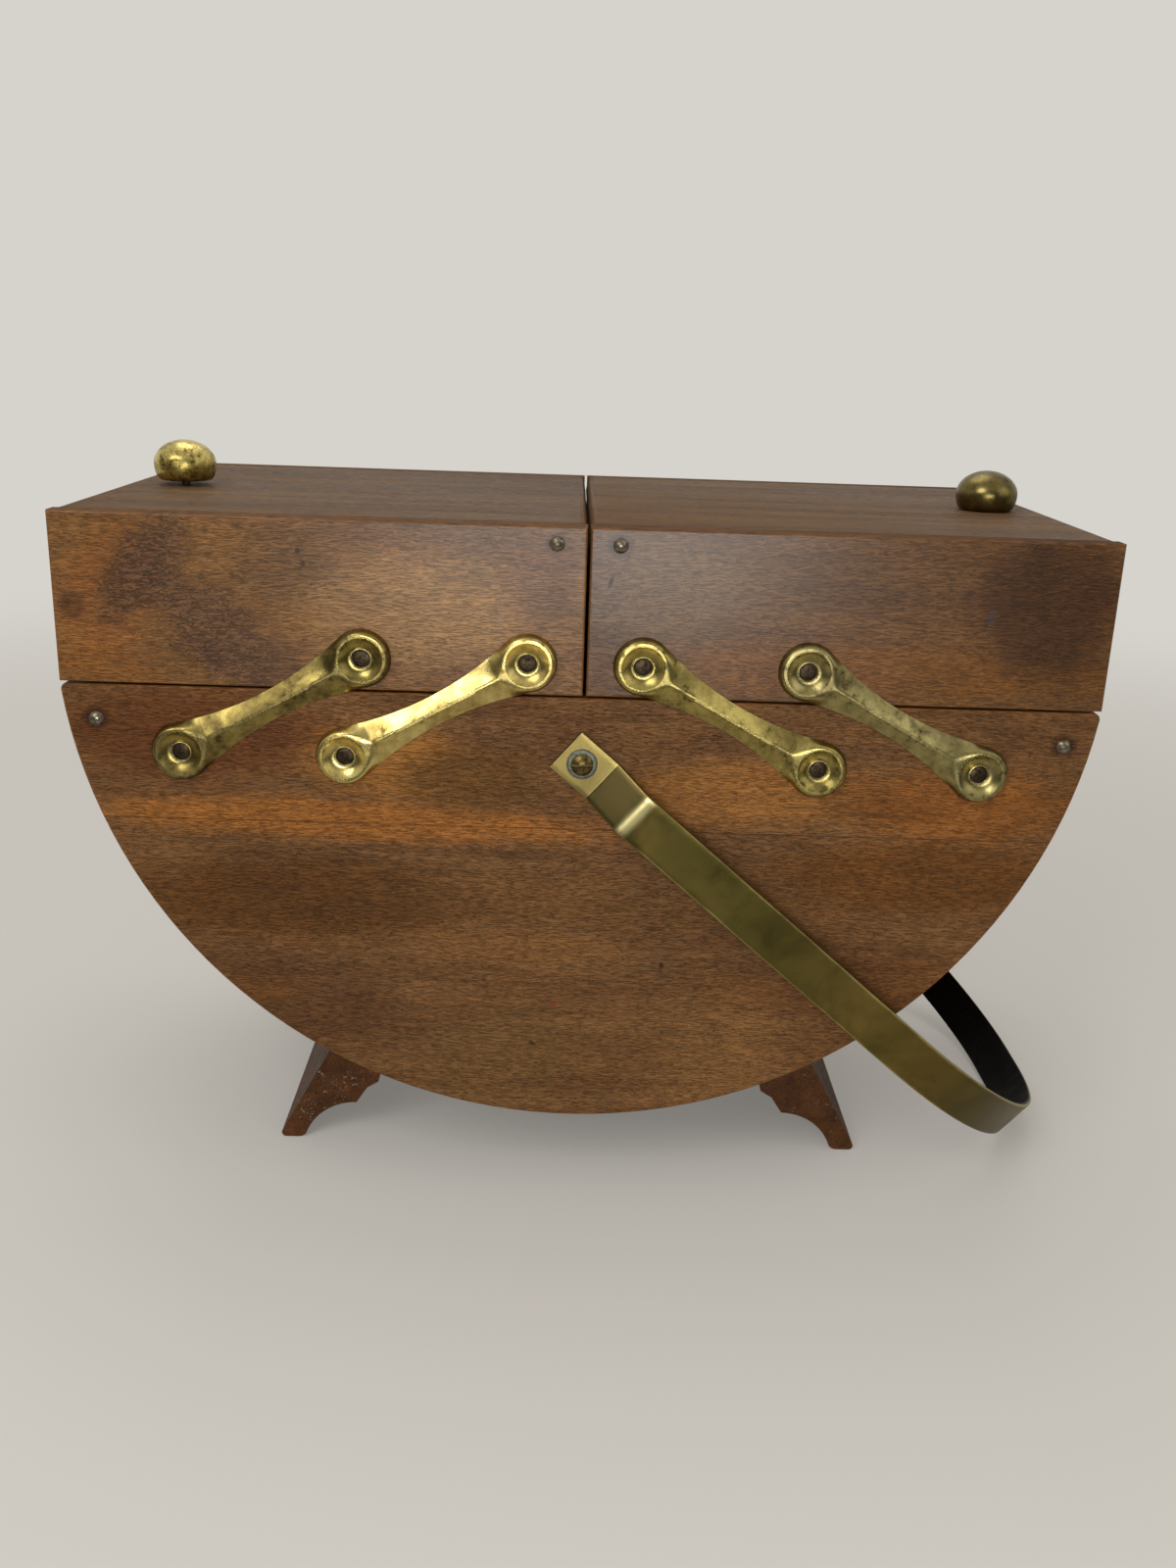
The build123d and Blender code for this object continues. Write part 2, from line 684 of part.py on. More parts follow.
def write_tray(side):
    """One tray and what is fixed to it."""
    for face in FACES:
        save(f"{side}_tray_{face}", other_side(other_face(tray_panel(), face), side))
    save(f"{side}_tray_outer_wall", other_side(tray_outer_wall(), side))
    save(f"{side}_tray_inner_wall", other_side(tray_inner_wall(), side))
    save(f"{side}_tray_bottom", other_side(tray_bottom(), side))
    screws, bushes, pins = [], [], []
    for face in FACES:
        for reach in tray_pivot_reach():
            place = on_front(reach, pivot_height + arm_rise)
            screws.append(other_side(other_face(place * arm_screw(), face), side))
            bushes.append(other_side(other_face(place * arm_bush(), face), side))
        place = on_front(pin_reach, pin_height)
        pins.append(other_side(other_face(place * nail(), face), side))
    save(f"{side}_tray_arm_screws", *screws)
    save(f"{side}_tray_arm_bushes", *bushes)
    save(f"{side}_lid_pins", *pins)


def write_lid(side):
    """One lid with its knob and the knob's screw."""
    stand = knob_stand[side]
    save(f"{side}_lid_panel", other_side(lid_panel(), side))
    save(f"{side}_knob", other_side(knob(stand), side))
    screw = knob_screw_place() * knob_screw_form(stand + knob_screw_bite)
    save(f"{side}_knob_screw", other_side(solid_of(screw), side))


write_base()
for side_name in SIDES:
    write_arms(side_name)
    write_tray(side_name)
    write_lid(side_name)
save("handle", handle())
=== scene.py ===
"""Finish and fine forms of a half-round wooden sewing box with two lidded trays.

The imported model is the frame. The wood keeps its solids and gets its varnish here. The
pressed brass arms, the strap handle, the knobs and the small fasteners are modelled anew.
All lengths are in metres; Z is up, the front faces -Y, and the floor is at Z = 0.
"""

import json
import math
from collections import namedtuple

import bmesh
import bpy
import numpy as np
from bpy.props import FloatProperty, FloatVectorProperty, IntProperty, PointerProperty
from mathutils import Matrix, Vector, noise


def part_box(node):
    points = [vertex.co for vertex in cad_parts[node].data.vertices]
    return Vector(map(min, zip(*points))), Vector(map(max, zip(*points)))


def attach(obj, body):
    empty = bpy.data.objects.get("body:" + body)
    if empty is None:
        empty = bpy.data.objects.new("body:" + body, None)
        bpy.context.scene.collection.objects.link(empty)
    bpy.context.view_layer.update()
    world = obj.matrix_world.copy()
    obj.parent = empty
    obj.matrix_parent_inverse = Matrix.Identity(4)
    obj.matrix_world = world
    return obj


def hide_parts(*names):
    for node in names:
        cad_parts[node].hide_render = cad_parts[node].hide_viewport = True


bl_info = {
    "name": "Sewing Box",
    "version": (1, 0, 0),
    "blender": (4, 5, 0),
    "location": "View3D > Sidebar > Sewing Box",
    "description": "Dresses a half-round sewing box with wood, brass arms, handle and knobs",
    "category": "Object",
}

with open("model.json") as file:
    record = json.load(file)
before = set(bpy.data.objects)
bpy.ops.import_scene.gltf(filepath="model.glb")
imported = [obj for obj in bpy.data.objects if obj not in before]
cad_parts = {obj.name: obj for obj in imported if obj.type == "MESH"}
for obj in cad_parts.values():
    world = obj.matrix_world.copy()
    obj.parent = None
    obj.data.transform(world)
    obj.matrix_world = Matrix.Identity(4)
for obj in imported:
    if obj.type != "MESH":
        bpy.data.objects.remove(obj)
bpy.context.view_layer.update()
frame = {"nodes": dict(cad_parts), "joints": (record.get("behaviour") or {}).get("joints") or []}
JOINTS = {joint["name"]: joint for joint in frame["joints"]}
MM = 0.001
SIDES = ("left", "right")
FACES = ("front", "back")


def pivot(name):
    """Place of a joint's axis on the centre plane."""
    return Vector(JOINTS[name]["pos_m"])


# The box's own centre plane, its front and back faces, and the height of the rim
BOX_CENTRE = pivot("handle_turn").x
PANEL_LOW, PANEL_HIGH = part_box("base_front_panel")
RIM = PANEL_HIGH.z
FRONT = PANEL_LOW.y
FACE_PLANE = {"front": FRONT, "back": -FRONT}
OUTWARD = {"front": Vector((0, -1, 0)), "back": Vector((0, 1, 0))}

# Points nearer than this are one, and a radius under this lies on the axis
DOUBLE, ON_AXIS = 1e-6, 1e-7
BLACK = (0.0, 0.0, 0.0, 1.0)

# The kinds of node used most, with the order of their inputs
MATH = "ShaderNodeMath"
VECTOR = "ShaderNodeVectorMath"
RANGE = "ShaderNodeMapRange"  # value, from min, from max, to min, to max
MIX = "ShaderNodeMix"  # factor, A, B
NOISE = "ShaderNodeTexNoise"
MAPPING = "ShaderNodeMapping"
SPLIT = "ShaderNodeSeparateXYZ"
ATTRIBUTE = "ShaderNodeAttribute"
SMOOTH = {"interpolation_type": "SMOOTHSTEP"}


# Colour and nodes

def srgb(code):
    """Linear colour of an sRGB hex value, with full alpha."""
    parts = [int(code[i:i + 2], 16) / 255 for i in (0, 2, 4)]
    linear = [p / 12.92 if p <= 0.04045 else ((p + 0.055) / 1.055) ** 2.4 for p in parts]
    return (*linear, 1.0)


def add(tree, kind, inputs=(), **settings):
    """Add a node, set its properties, and fill or link its inputs, which are given by name
    or else in the order of the sockets in use. A node links by its first output in use."""
    made = tree.nodes.new(kind)
    for name, value in settings.items():
        setattr(made, name, value)
    if isinstance(inputs, dict):
        pairs = [(made.inputs[key], value) for key, value in inputs.items()]
    else:
        pairs = zip([socket for socket in made.inputs if socket.enabled], inputs)
    for socket, value in pairs:
        if isinstance(value, bpy.types.Node):
            value = next(output for output in value.outputs if output.enabled)
        if isinstance(value, bpy.types.NodeSocket):
            tree.links.new(value, socket)
        else:
            socket.default_value = value
    return made


def new_material(name):
    """Empty node material, its tree, and the place of each point on its object."""
    made = bpy.data.materials.new(name)
    made.use_nodes = True
    made.node_tree.nodes.clear()
    place = add(made.node_tree, "ShaderNodeTexCoord").outputs["Object"]
    return made, made.node_tree, place


def close_material(tree, relief, strength, depth, values):
    """Raise the relief as bumps, and end the material with its shader and output."""
    bump = add(tree, "ShaderNodeBump", {
        "Strength": strength, "Distance": depth, "Height": relief})
    shader = add(tree, "ShaderNodeBsdfPrincipled", {"Normal": bump, **values})
    add(tree, "ShaderNodeOutputMaterial", (shader,))


def layered(tree, base, *layers):
    """Colours laid over a base, each through its mask."""
    for mask, tone in layers:
        base = add(tree, MIX, (mask, base, tone), data_type="RGBA")
    return base


# Settings that a user would change

def length(name, default_mm, description):
    """Length property; its default is given in millimetres."""
    return FloatProperty(name=name, description=description, default=default_mm * MM,
                         unit="LENGTH", precision=4)


def colour(name, code, description):
    """Colour property; its default is an sRGB hex value."""
    return FloatVectorProperty(name=name, description=description, default=srgb(code),
                               size=4, min=0.0, max=1.0, subtype="COLOR")


class ArmSettings(bpy.types.PropertyGroup):
    """Sizes of a pressed brass arm."""
    eye_radius: length("Eye radius", 11.4, "Outside of the arm round a pivot")
    waist: length("Waist", 5.6, "Half width at the arm's middle")
    height: length("Height", 3.6, "Highest line above the wood")
    skirt_lift: length("Skirt lift", 0.4, "Lower edge above the wood")
    sheet: length("Sheet", 0.9, "Thickness of the brass sheet")
    cup_radius: length("Cup radius", 9.0, "Outside of the rim of each dished eye")
    rim_width: length("Rim width", 0.6, "Flat crest of the rim")
    cup_floor: length("Cup floor", 4.15, "Radius of the flat floor of the cup")
    bore: length("Bore", 3.1, "Radius of the hole for the bush")
    ridge: length("Ridge", 0.6, "Half width of the crest along the arm")
    fork: length("Fork radius", 5.0, "Hollow where the crest forks round a cup")
    crown: FloatProperty(name="Crown", default=0.92, min=0.5, max=2.0,
                         description="Over 1 the bar's sides are crowned, under 1 hollow")
    roll: FloatProperty(name="Roll", default=3.2, min=1.0, max=6.0,
                        description="How round the eye's outer edge is rolled over")
    play: length("Play", 0.1, "Gap between the cup's floor and the wood")
    dents: length("Dents", 0.05, "Height of the shallow dents in the sheet")


class HandleSettings(bpy.types.PropertyGroup):
    """Sizes of the strap handle."""
    width: length("Width", 19.0, "Width of the strap")
    thickness: length("Thickness", 2.0, "Thickness of the strap")
    overhang: length("Overhang", 8.5, "Strap past the pivot")
    crease: length("Crease", 11.0, "Pivot to the first bend")
    ramp: length("Ramp", 15.0, "Run of the sloping part")
    crease_radius: length("Crease radius", 2.0, "Radius of the first bend")
    shoulder_radius: length("Shoulder radius", 7.0, "Radius of the second bend")
    bow_flat: length("Bow flat", 16.0, "Straight stretch across the middle of the bow")
    corner: length("Corner", 0.45, "Rounding of the strap's edges")
    dents: length("Dents", 0.1, "Height of the strap's waves and dents")


class KnobSettings(bpy.types.PropertyGroup):
    """Shape of a turned knob."""
    belly_share: FloatProperty(name="Belly share", default=0.41, min=0.1, max=0.9,
                               description="Height of the widest line, as a share of the knob")
    foot_share: FloatProperty(name="Foot share", default=0.78, min=0.2, max=1.0,
                              description="Radius of the flat foot, as a share of the knob's")
    dents: length("Dents", 0.08, "Depth of the small dents")


class FastenerSettings(bpy.types.PropertyGroup):
    """Sizes of the arms' screws and bushes, and of the nails."""
    screw_radius: length("Screw radius", 1.6, "Shank of an arm screw")
    screw_length: length("Screw length", 7.0, "Arm screw in the wood")
    bush_radius: length("Bush radius", 3.0, "Sleeve of a bush")
    flange_radius: length("Flange radius", 4.1, "Outside of a bush's flange")
    flange_wall: length("Flange wall", 0.45, "Width of the flange's rolled ring")
    head_sink: length("Head sink", 0.45, "Screw head under the flange")
    cross_reach: length("Cross reach", 3.0, "Length of each slot of the cross")
    cross_width: length("Cross width", 0.62, "Width of each slot of the cross")
    nail_radius: length("Nail head radius", 2.9, "Radius of a domed nail head")
    nail_height: length("Nail head height", 1.7, "Height of a domed nail head")
    nail_shank: length("Nail shank", 1.1, "Radius of a nail's shank")
    turn_seed: IntProperty(name="Turn seed", default=7, min=0,
                           description="Seed of each screw's own turn")


class WoodSettings(bpy.types.PropertyGroup):
    """Tones of the stained and varnished wood."""
    body_dark: colour("Body dark", "583819", "Dark tone of the lower body")
    body_light: colour("Body light", "684725", "Light tone of the lower body")
    left_dark: colour("Left tray dark", "62411E", "Dark tone of the left tray")
    left_light: colour("Left tray light", "744E23", "Light tone of the left tray")
    right_dark: colour("Right tray dark", "513313", "Dark tone of the right tray")
    right_light: colour("Right tray light", "63411C", "Light tone of the right tray")
    lid_dark: colour("Lid dark", "563D23", "Dark tone of the lids")
    lid_light: colour("Lid light", "6E5030", "Light tone of the lids")
    bare: colour("Bare wood", "83501E", "Worn edges where the stain is gone")
    chip: colour("Chips", "B49A84", "Pale flakes where the varnish is knocked off")
    pore_length: length("Pore length", 3.6, "Length of a pore along the grain")
    pore_width: length("Pore width", 0.28, "Width of a pore across the grain")
    lid_gap: length("Lid gap", 0.3, "Gap between the two lids over the seam")


class StageSettings(bpy.types.PropertyGroup):
    """Floor, backdrop and camera."""
    floor: colour("Floor", "D0CCC5", "Colour of the pale floor")
    backdrop: colour("Backdrop", "D6D3CD", "Colour behind the object")
    lens: FloatProperty(name="Lens", default=31.88, min=10.0, unit="CAMERA",
                        description="Focal length for a long side of 36 mm")
    yaw: FloatProperty(name="Yaw", default=math.radians(-1.1), subtype="ANGLE",
                       description="Turn of the camera about the upright")
    pitch: FloatProperty(name="Pitch", default=math.radians(17.8), subtype="ANGLE",
                         description="Tilt of the camera below level")
    roll: FloatProperty(name="Roll", default=math.radians(2.0), subtype="ANGLE",
                        description="Turn of the camera about its own axis")


# Mesh helpers

def new_object(name, data):
    """Object at the origin of the scene."""
    made = bpy.data.objects.new(name, data)
    bpy.context.scene.collection.objects.link(made)
    return made


def smooth_object(name, mesh, sharp):
    """Object with a smooth mesh, sharp over an angle in degrees."""
    mesh.shade_smooth()
    mesh.set_sharp_from_angle(angle=math.radians(sharp))
    return new_object(name, mesh)


def mesh_object(name, vertices, faces, sharp=35.0, marks=None):
    """Smooth object of vertices and faces. Marks are named lists of one number for each
    vertex."""
    mesh = bpy.data.meshes.new(name)
    mesh.from_pydata([tuple(v) for v in vertices], [], [tuple(f) for f in faces])
    for mark, values in (marks or {}).items():
        mesh.attributes.new(mark, "FLOAT", "POINT").data.foreach_set("value", values)
    shell = bmesh.new()
    shell.from_mesh(mesh)
    bmesh.ops.remove_doubles(shell, verts=shell.verts, dist=DOUBLE)
    bmesh.ops.recalc_face_normals(shell, faces=shell.faces)
    shell.to_mesh(mesh)
    shell.free()
    return smooth_object(name, mesh, sharp)


def applied(source, name, sharp=35.0):
    """Turn an object and its modifiers into a plain mesh object."""
    bpy.context.view_layer.update()
    graph = bpy.context.evaluated_depsgraph_get()
    mesh = bpy.data.meshes.new_from_object(source.evaluated_get(graph))
    made = smooth_object(name, mesh, sharp)
    bpy.data.objects.remove(source)
    return made


def finish_piece(piece, body, material, nodes):
    """Give a piece its finish, its body and the nodes that it stands for."""
    piece.data.materials.clear()
    piece.data.materials.append(material)
    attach(piece, body)
    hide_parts(*nodes)


def strip(low, high):
    """Faces between two closed rows of vertices; corners at one vertex fall together."""
    after_low, after_high = low[1:] + low[:1], high[1:] + high[:1]
    return [tuple(dict.fromkeys(corners))
            for corners in zip(low, after_low, after_high, high)]


def lathe(profile, steps=48):
    """Vertices and faces of a profile of (radius, height) turned about Z."""
    vertices, rings, faces = [], [], []
    for radius, height in profile:
        start = len(vertices)
        if radius < ON_AXIS:
            vertices.append((0, 0, height))
            rings.append([start] * steps)
            continue
        turns = [2 * math.pi * k / steps for k in range(steps)]
        vertices += [(radius * math.cos(a), radius * math.sin(a), height) for a in turns]
        rings.append(list(range(start, start + steps)))
    for low, high in zip(rings, rings[1:]):
        faces += strip(low, high)
    return vertices, faces


def arc(centre, radius, start, end, steps):
    """Points of an arc in the (radius, height) plane; angles in degrees."""
    angles = [math.radians(start + (end - start) * k / steps) for k in range(steps + 1)]
    return [(centre[0] + radius * math.cos(a), centre[1] + radius * math.sin(a))
            for a in angles]


def axes_matrix(x, y, z, place):
    """Frame of three axes at a place."""
    return Matrix((*zip(x, y, z, place), (0, 0, 0, 1)))


def face_matrix(x, z, face, along=Vector((1, 0, 0))):
    """Frame on a panel's outer face: local Z points out of the wood, local X along."""
    out = OUTWARD[face]
    return axes_matrix(along, out.cross(along), out, Vector((x, FACE_PLANE[face], z)))


# Spots: soft ellipses on the front faces, in millimetres from the box's centre plane and
# the floor. Each pulls the colour towards its own, with ragged edges: full within one
# share of its size and gone at the other. They reach through the board.
# Two spots on the trays paint the varnish's sheen as lighter colour.
Spot = namedtuple("Spot", "x z wide high turn code strength ragged")
SPOT_FULL, SPOT_GONE = 0.55, 1.25
THROUGH = 1000.0


def paint_spots(tree, place, base, spots, ragged):
    """Chain of colour mixes, one for each spot."""
    for spot in spots:
        local = add(tree, MAPPING, {
            "Vector": place, "Location": (spot.x * MM, 0, spot.z * MM),
            "Rotation": (0, math.radians(spot.turn), 0),
            "Scale": (spot.wide * MM, THROUGH, spot.high * MM)}, vector_type="TEXTURE")
        far = add(tree, VECTOR, (local,), operation="LENGTH")
        rough = add(tree, MATH, (ragged, spot.ragged, far), operation="MULTIPLY_ADD")
        mask = add(tree, RANGE, (rough, SPOT_FULL, SPOT_GONE, spot.strength, 0.0), **SMOOTH)
        base = layered(tree, base, (mask, srgb(spot.code)))
    return base


# Wood

# How far worn edges fray, and the height of the glued joint in the body's boards
WEAR = 0.8 * MM
BOARD_JOINT = 164.7 * MM
# Patterns of the wood: their size along and across the grain in millimetres, then the
# detail, roughness and distortion of the noise
BANDS = (170, 14, 5.0, 0.6, 0.5)
CLOUDS = (34, 15, 4.0, 0.65, 0.3)
STREAKS = (30, 1.5, 4.0, 0.6, 0.0)
FIBRES = (9, 0.45, 3.0, 0.65, 0.0)
MOTTLES = (2.6, 1.5, 3.0, 0.6, 0.6)
RAGGED = (8, 2.4, 5.0, 0.7, 0.0)
FLAKES = (2.2, 1.4, 4.0, 0.7, 0.8)
PATCHES = (16, 11, 2.0, 0.5, 0.0)


def board_wood(name, dark, light, spots=(), curls=(), grain=(1, 0, 0), shift=0.0,
               roughness=0.4, worn=None, joint=None, chips=0.0, varnish=0.0, top=None):
    """Stained hardwood board under old satin varnish: wandering fibres, short open pores
    that catch the light, broad bands and clouds of tone, curly figure where asked, and
    edges rubbed to lighter wood. A joint is the height where two boards are glued, and
    varnish is how whole the smooth coat over the pores still is. The coat is gone from the
    top, the height of a board's upper edge that hands rub."""
    look = bpy.context.scene.box_wood
    material, tree, place = new_material(name)
    if joint or top:
        height = add(tree, SPLIT, (place,)).outputs["Z"]

    # the fibres wander a few millimetres across the board over a hand's length
    drift = add(tree, MAPPING, {
        "Vector": place, "Location": (shift * 3.1, shift, shift * 0.7),
        "Scale": [9 if g else 20 for g in grain]})
    wander = add(tree, NOISE, {
        "Vector": drift, "Scale": 1.0, "Detail": 2.0, "Roughness": 0.4}).outputs["Color"]
    sway = [0 if g else 7 * MM for g in grain]
    wander = add(tree, VECTOR, (wander, sway, place), operation="MULTIPLY_ADD")
    if joint:
        above = add(tree, MATH, (height, joint), operation="GREATER_THAN")
        other = add(tree, "ShaderNodeCombineXYZ", {"X": above})
        wander = add(tree, VECTOR, (wander, other), operation="ADD")

    def stretched(along_mm, across_mm, detail, spread, warp):
        """Noise drawn out along the grain, with features of a real size."""
        mapped = add(tree, MAPPING, {
            "Vector": wander, "Location": (shift, shift * 1.7, shift * 2.3),
            "Scale": [1 / ((along_mm if g else across_mm) * MM) for g in grain]})
        return add(tree, NOISE, {"Vector": mapped, "Scale": 1.0, "Detail": detail,
                                 "Roughness": spread, "Distortion": warp})

    clouds, streaks, fibres, mottles = [
        stretched(*pattern) for pattern in (CLOUDS, STREAKS, FIBRES, MOTTLES)]
    bands = add(tree, RANGE, (stretched(*BANDS), 0.36, 0.64))
    tone = layered(tree, dark, (bands, light))
    if spots or worn:
        centred = add(tree, MAPPING, {"Vector": place, "Location": (-BOX_CENTRE, 0, 0)})
        ragged = add(tree, MATH, (stretched(*RAGGED), -0.5), operation="ADD")
        # spots of tone; on the trays two of them are painted sheen
        tone = paint_spots(tree, centred, tone, spots, ragged)

    pores = stretched(look.pore_length / MM, look.pore_width / MM, 2.0, 0.55, 0.0)
    pores = add(tree, RANGE, (pores, 0.52, 0.62), **SMOOTH)
    if curls:
        curl = add(tree, MAPPING, {
            "Vector": place, "Rotation": (0, math.radians(40), 0),
            "Scale": (1 / (3.2 * MM), 1, 1 / (1.1 * MM))})
        curl = add(tree, NOISE, {"Vector": curl, "Scale": 1.0, "Detail": 3.0,
                                 "Roughness": 0.55, "Distortion": 1.6})
        curl = add(tree, RANGE, (curl, 0.46, 0.62, 0.0, 1.6), **SMOOTH)
        # the spots are painted on black, so that what comes out is a mask
        where = paint_spots(tree, centred, BLACK, curls, ragged)
        pores = add(tree, MIX, (where, pores, curl))

    # each pattern darkens and lightens the wood by its own share
    shade = add(tree, MATH, (pores, -0.36, 1.08), operation="MULTIPLY_ADD")
    for pattern, share in ((clouds, 0.16), (streaks, 0.16), (fibres, 0.24), (mottles, 0.08)):
        gain = add(tree, RANGE, (pattern, 0.3, 0.7, 1 - share, 1 + share), clamp=False)
        shade = add(tree, MATH, (shade, gain), operation="MULTIPLY")
    if joint:
        off = add(tree, MATH, (height, joint), operation="SUBTRACT")
        off = add(tree, MATH, (off,), operation="ABSOLUTE")
        line = add(tree, RANGE, (off, 0.12 * MM, 0.45 * MM, 0.55, 1.0))
        shade = add(tree, MATH, (shade, line), operation="MULTIPLY")
    tone = add(tree, VECTOR, (tone, shade), operation="SCALE")
    if worn:
        tone = layered(tree, tone, (worn(tree, centred, ragged), look.bare))
    if chips:
        flakes = add(tree, RANGE, (stretched(*FLAKES), 0.71 - chips, 0.73 - chips, 0.0, 0.8))
        patches = add(tree, RANGE, (stretched(*PATCHES), 0.52, 0.6))
        flaked = add(tree, MATH, (flakes, patches), operation="MULTIPLY")
        tone = layered(tree, tone, (flaked, look.chip))

    gloss = add(tree, RANGE, (clouds, 0.3, 0.7, roughness - 0.05, roughness + 0.08))
    gloss = add(tree, MATH, (pores, 0.1, gloss), operation="MULTIPLY_ADD")
    coat = varnish
    if top:
        dry = add(tree, MATH, (height, top - 0.3 * MM), operation="GREATER_THAN")
        gloss = add(tree, MATH, (dry, 0.4, gloss), operation="MULTIPLY_ADD")
        coat = add(tree, RANGE, (height, top - 0.4 * MM, top - 0.1 * MM, varnish, 0.0))
    relief = add(tree, MATH, (fibres, 0.6, mottles), operation="MULTIPLY_ADD")
    relief = add(tree, MATH, (pores, -0.9, relief), operation="MULTIPLY_ADD")
    close_material(tree, relief, 0.9, 0.3 * MM, {
        "Base Color": tone, "Roughness": gloss, "Specular IOR Level": 0.18,
        "Coat Weight": coat, "Coat Roughness": 0.24})
    return material


def rubbed(tree, far, edge, ragged, strength):
    """Mask of a worn edge: it frays inwards from a distance, and breaks off in places."""
    worn = add(tree, MATH, (ragged, 2.6 * WEAR, far), operation="MULTIPLY_ADD")
    return add(tree, RANGE, (worn, edge - WEAR, edge + 0.2 * WEAR, 0.0, strength))


def at_outer_face(tree, depth, ragged, edges):
    """The wear of a board's edges, kept to a line beside its outer face."""
    total = edges[0]
    for edge in edges[1:]:
        total = add(tree, MATH, (total, edge), operation="MAXIMUM")
    depth = add(tree, MATH, (depth,), operation="ABSOLUTE")
    near = rubbed(tree, depth, -FRONT, ragged, 1.0)
    return add(tree, MATH, (total, near), operation="MULTIPLY")


def worn_box_edges(low, high):
    """Wear along the edges of an upright board that fills a box: most on the top edge."""
    def mask(tree, place, ragged):
        x, y, z = add(tree, SPLIT, (place,)).outputs
        side = add(tree, MATH, (x, (low.x + high.x) / 2 - BOX_CENTRE), operation="SUBTRACT")
        side = add(tree, MATH, (side,), operation="ABSOLUTE")
        down = add(tree, MATH, (z, -1.0), operation="MULTIPLY")
        lines = ((z, high.z, 0.85), (down, -low.z, 0.45), (side, (high.x - low.x) / 2, 0.5))
        edges = [rubbed(tree, far, edge, ragged, strength) for far, edge, strength in lines]
        return at_outer_face(tree, y, ragged, edges)
    return mask


def worn_round_edge():
    """Wear along the rim and the round edge of the lower body."""
    half = (PANEL_HIGH.x - PANEL_LOW.x) / 2
    drop = RIM - PANEL_LOW.z
    # nearly the circle of the panel, from its lowest point and its widest line
    radius = (half**2 + drop**2) / (2 * drop)

    def mask(tree, place, ragged):
        _, y, z = add(tree, SPLIT, (place,)).outputs
        flat = add(tree, VECTOR, (place, (1, 0, 1)), operation="MULTIPLY")
        far = add(tree, VECTOR, (flat, (0, 0, PANEL_LOW.z + radius)), operation="DISTANCE")
        edges = (rubbed(tree, far, radius, ragged, 0.6), rubbed(tree, z, RIM, ragged, 0.75))
        return at_outer_face(tree, y, ragged, edges)
    return mask


BODY_SPOTS = (
    Spot(-150, 200, 58, 20, 0, "562E0B", 0.85, 0.8),
    Spot(-90, 166, 108, 9, 1, "86521C", 0.9, 1.2),
    Spot(-75, 190, 34, 16, 4, "8A5A22", 0.85, 1.0),
    Spot(-42, 184, 30, 15, 0, "5A3910", 0.9, 0.9),
    Spot(62, 181, 60, 15, -3, "805322", 0.9, 1.2),
    Spot(150, 178, 45, 17, 0, "764615", 0.8, 1.2),
    Spot(120, 176, 26, 8, 0, "60370E", 0.5, 1.8),
    Spot(135, 148, 64, 16, 0, "5A3407", 0.85, 0.6),
    Spot(-110, 132, 78, 19, 0, "4C2B02", 0.85, 0.9),
    Spot(10, 136, 90, 14, 0, "603F1B", 0.7, 0.9),
    Spot(-28, 113, 44, 8, 2, "6C461F", 0.7, 1.9),
    Spot(-30, 64, 38, 24, -20, "5E4220", 0.6, 2.0),
    Spot(62, 62, 26, 30, 20, "704D27", 0.7, 1.8),
    Spot(70, 95, 18, 9, 0, "67411C", 0.5, 2.0),
    Spot(-118, 84, 50, 26, 0, "4A2C12", 0.7, 1.2),
    Spot(-128, 92, 18, 8, 0, "5E3810", 0.45, 2.0),
    Spot(125, 98, 40, 16, 0, "562F0B", 0.5, 1.0),
    Spot(-8.5, 88, 2.2, 1.8, 0, "7A2E1E", 0.4, 0.3),
    Spot(35, 107, 1.1, 1.3, 0, "1C0E06", 0.8, 0.3),
    Spot(-17, 70, 1.6, 1.0, 30, "1C0E06", 0.7, 0.3),
    Spot(-187, 204.5, 5.6, 4.6, 0, "2A1406", 0.75, 0.5),
    Spot(187, 204.5, 5.6, 4.6, 0, "2A1406", 0.75, 0.5),
)
LEFT_SPOTS = (
    Spot(-180, 252, 18, 32, 20, "744619", 0.85, 1.0),
    Spot(-166, 262, 12, 26, 38, "523721", 0.8, 1.6),
    Spot(-133, 235, 40, 15, 40, "573B27", 0.75, 1.8),
    Spot(-182, 226, 22, 9, 8, "764919", 0.8, 1.4),
    Spot(-112, 262, 26, 14, 0, "5E401E", 0.7, 0.9),
    Spot(-193, 248, 6, 6, 0, "391D08", 0.6, 0.8),
    # partly a lighter tone of the wood, partly painted sheen where the varnish's glare falls
    Spot(-60, 250, 48, 22, 0, "8A6538", 0.75, 1.2),
    Spot(-15, 262, 12, 20, 20, "5E3E26", 0.6, 1.0),
    Spot(-33, 250, 3, 9, 0, "62503C", 0.25, 1.0),
    Spot(-108, 271, 1.2, 1.4, 0, "20120A", 0.8, 0.4),
    Spot(-106, 266, 0.8, 1.0, 0, "20120A", 0.8, 0.4),
    Spot(-11.8, 276.7, 4.4, 4.0, 0, "301806", 0.65, 0.5),
)
# where the left tray's fibres curl across the board
LEFT_CURLS = (
    Spot(-166, 262, 14, 30, 38, "FFFFFF", 0.9, 1.0),
    Spot(-140, 238, 34, 19, 42, "FFFFFF", 0.85, 1.0),
)
RIGHT_SPOTS = (
    Spot(110, 231, 90, 12, 0, "69400C", 0.85, 1.4),
    Spot(90, 264, 60, 14, 0, "563A1B", 0.5, 1.0),
    Spot(175, 258, 30, 30, 0, "3C2003", 0.85, 1.0),
    # painted sheen: a lighter, greyer patch where the varnish's glare falls near the seam
    Spot(30, 258, 30, 20, 0, "654C2F", 0.6, 1.0),
    Spot(152.6, 254, 1.9, 2.6, 10, "30303C", 0.5, 0.4),
    Spot(8.6, 263, 0.9, 2.8, 20, "1C0C04", 0.9, 0.3),
    Spot(11.8, 276.7, 4.8, 4.4, 0, "2C1506", 0.8, 0.5),
)


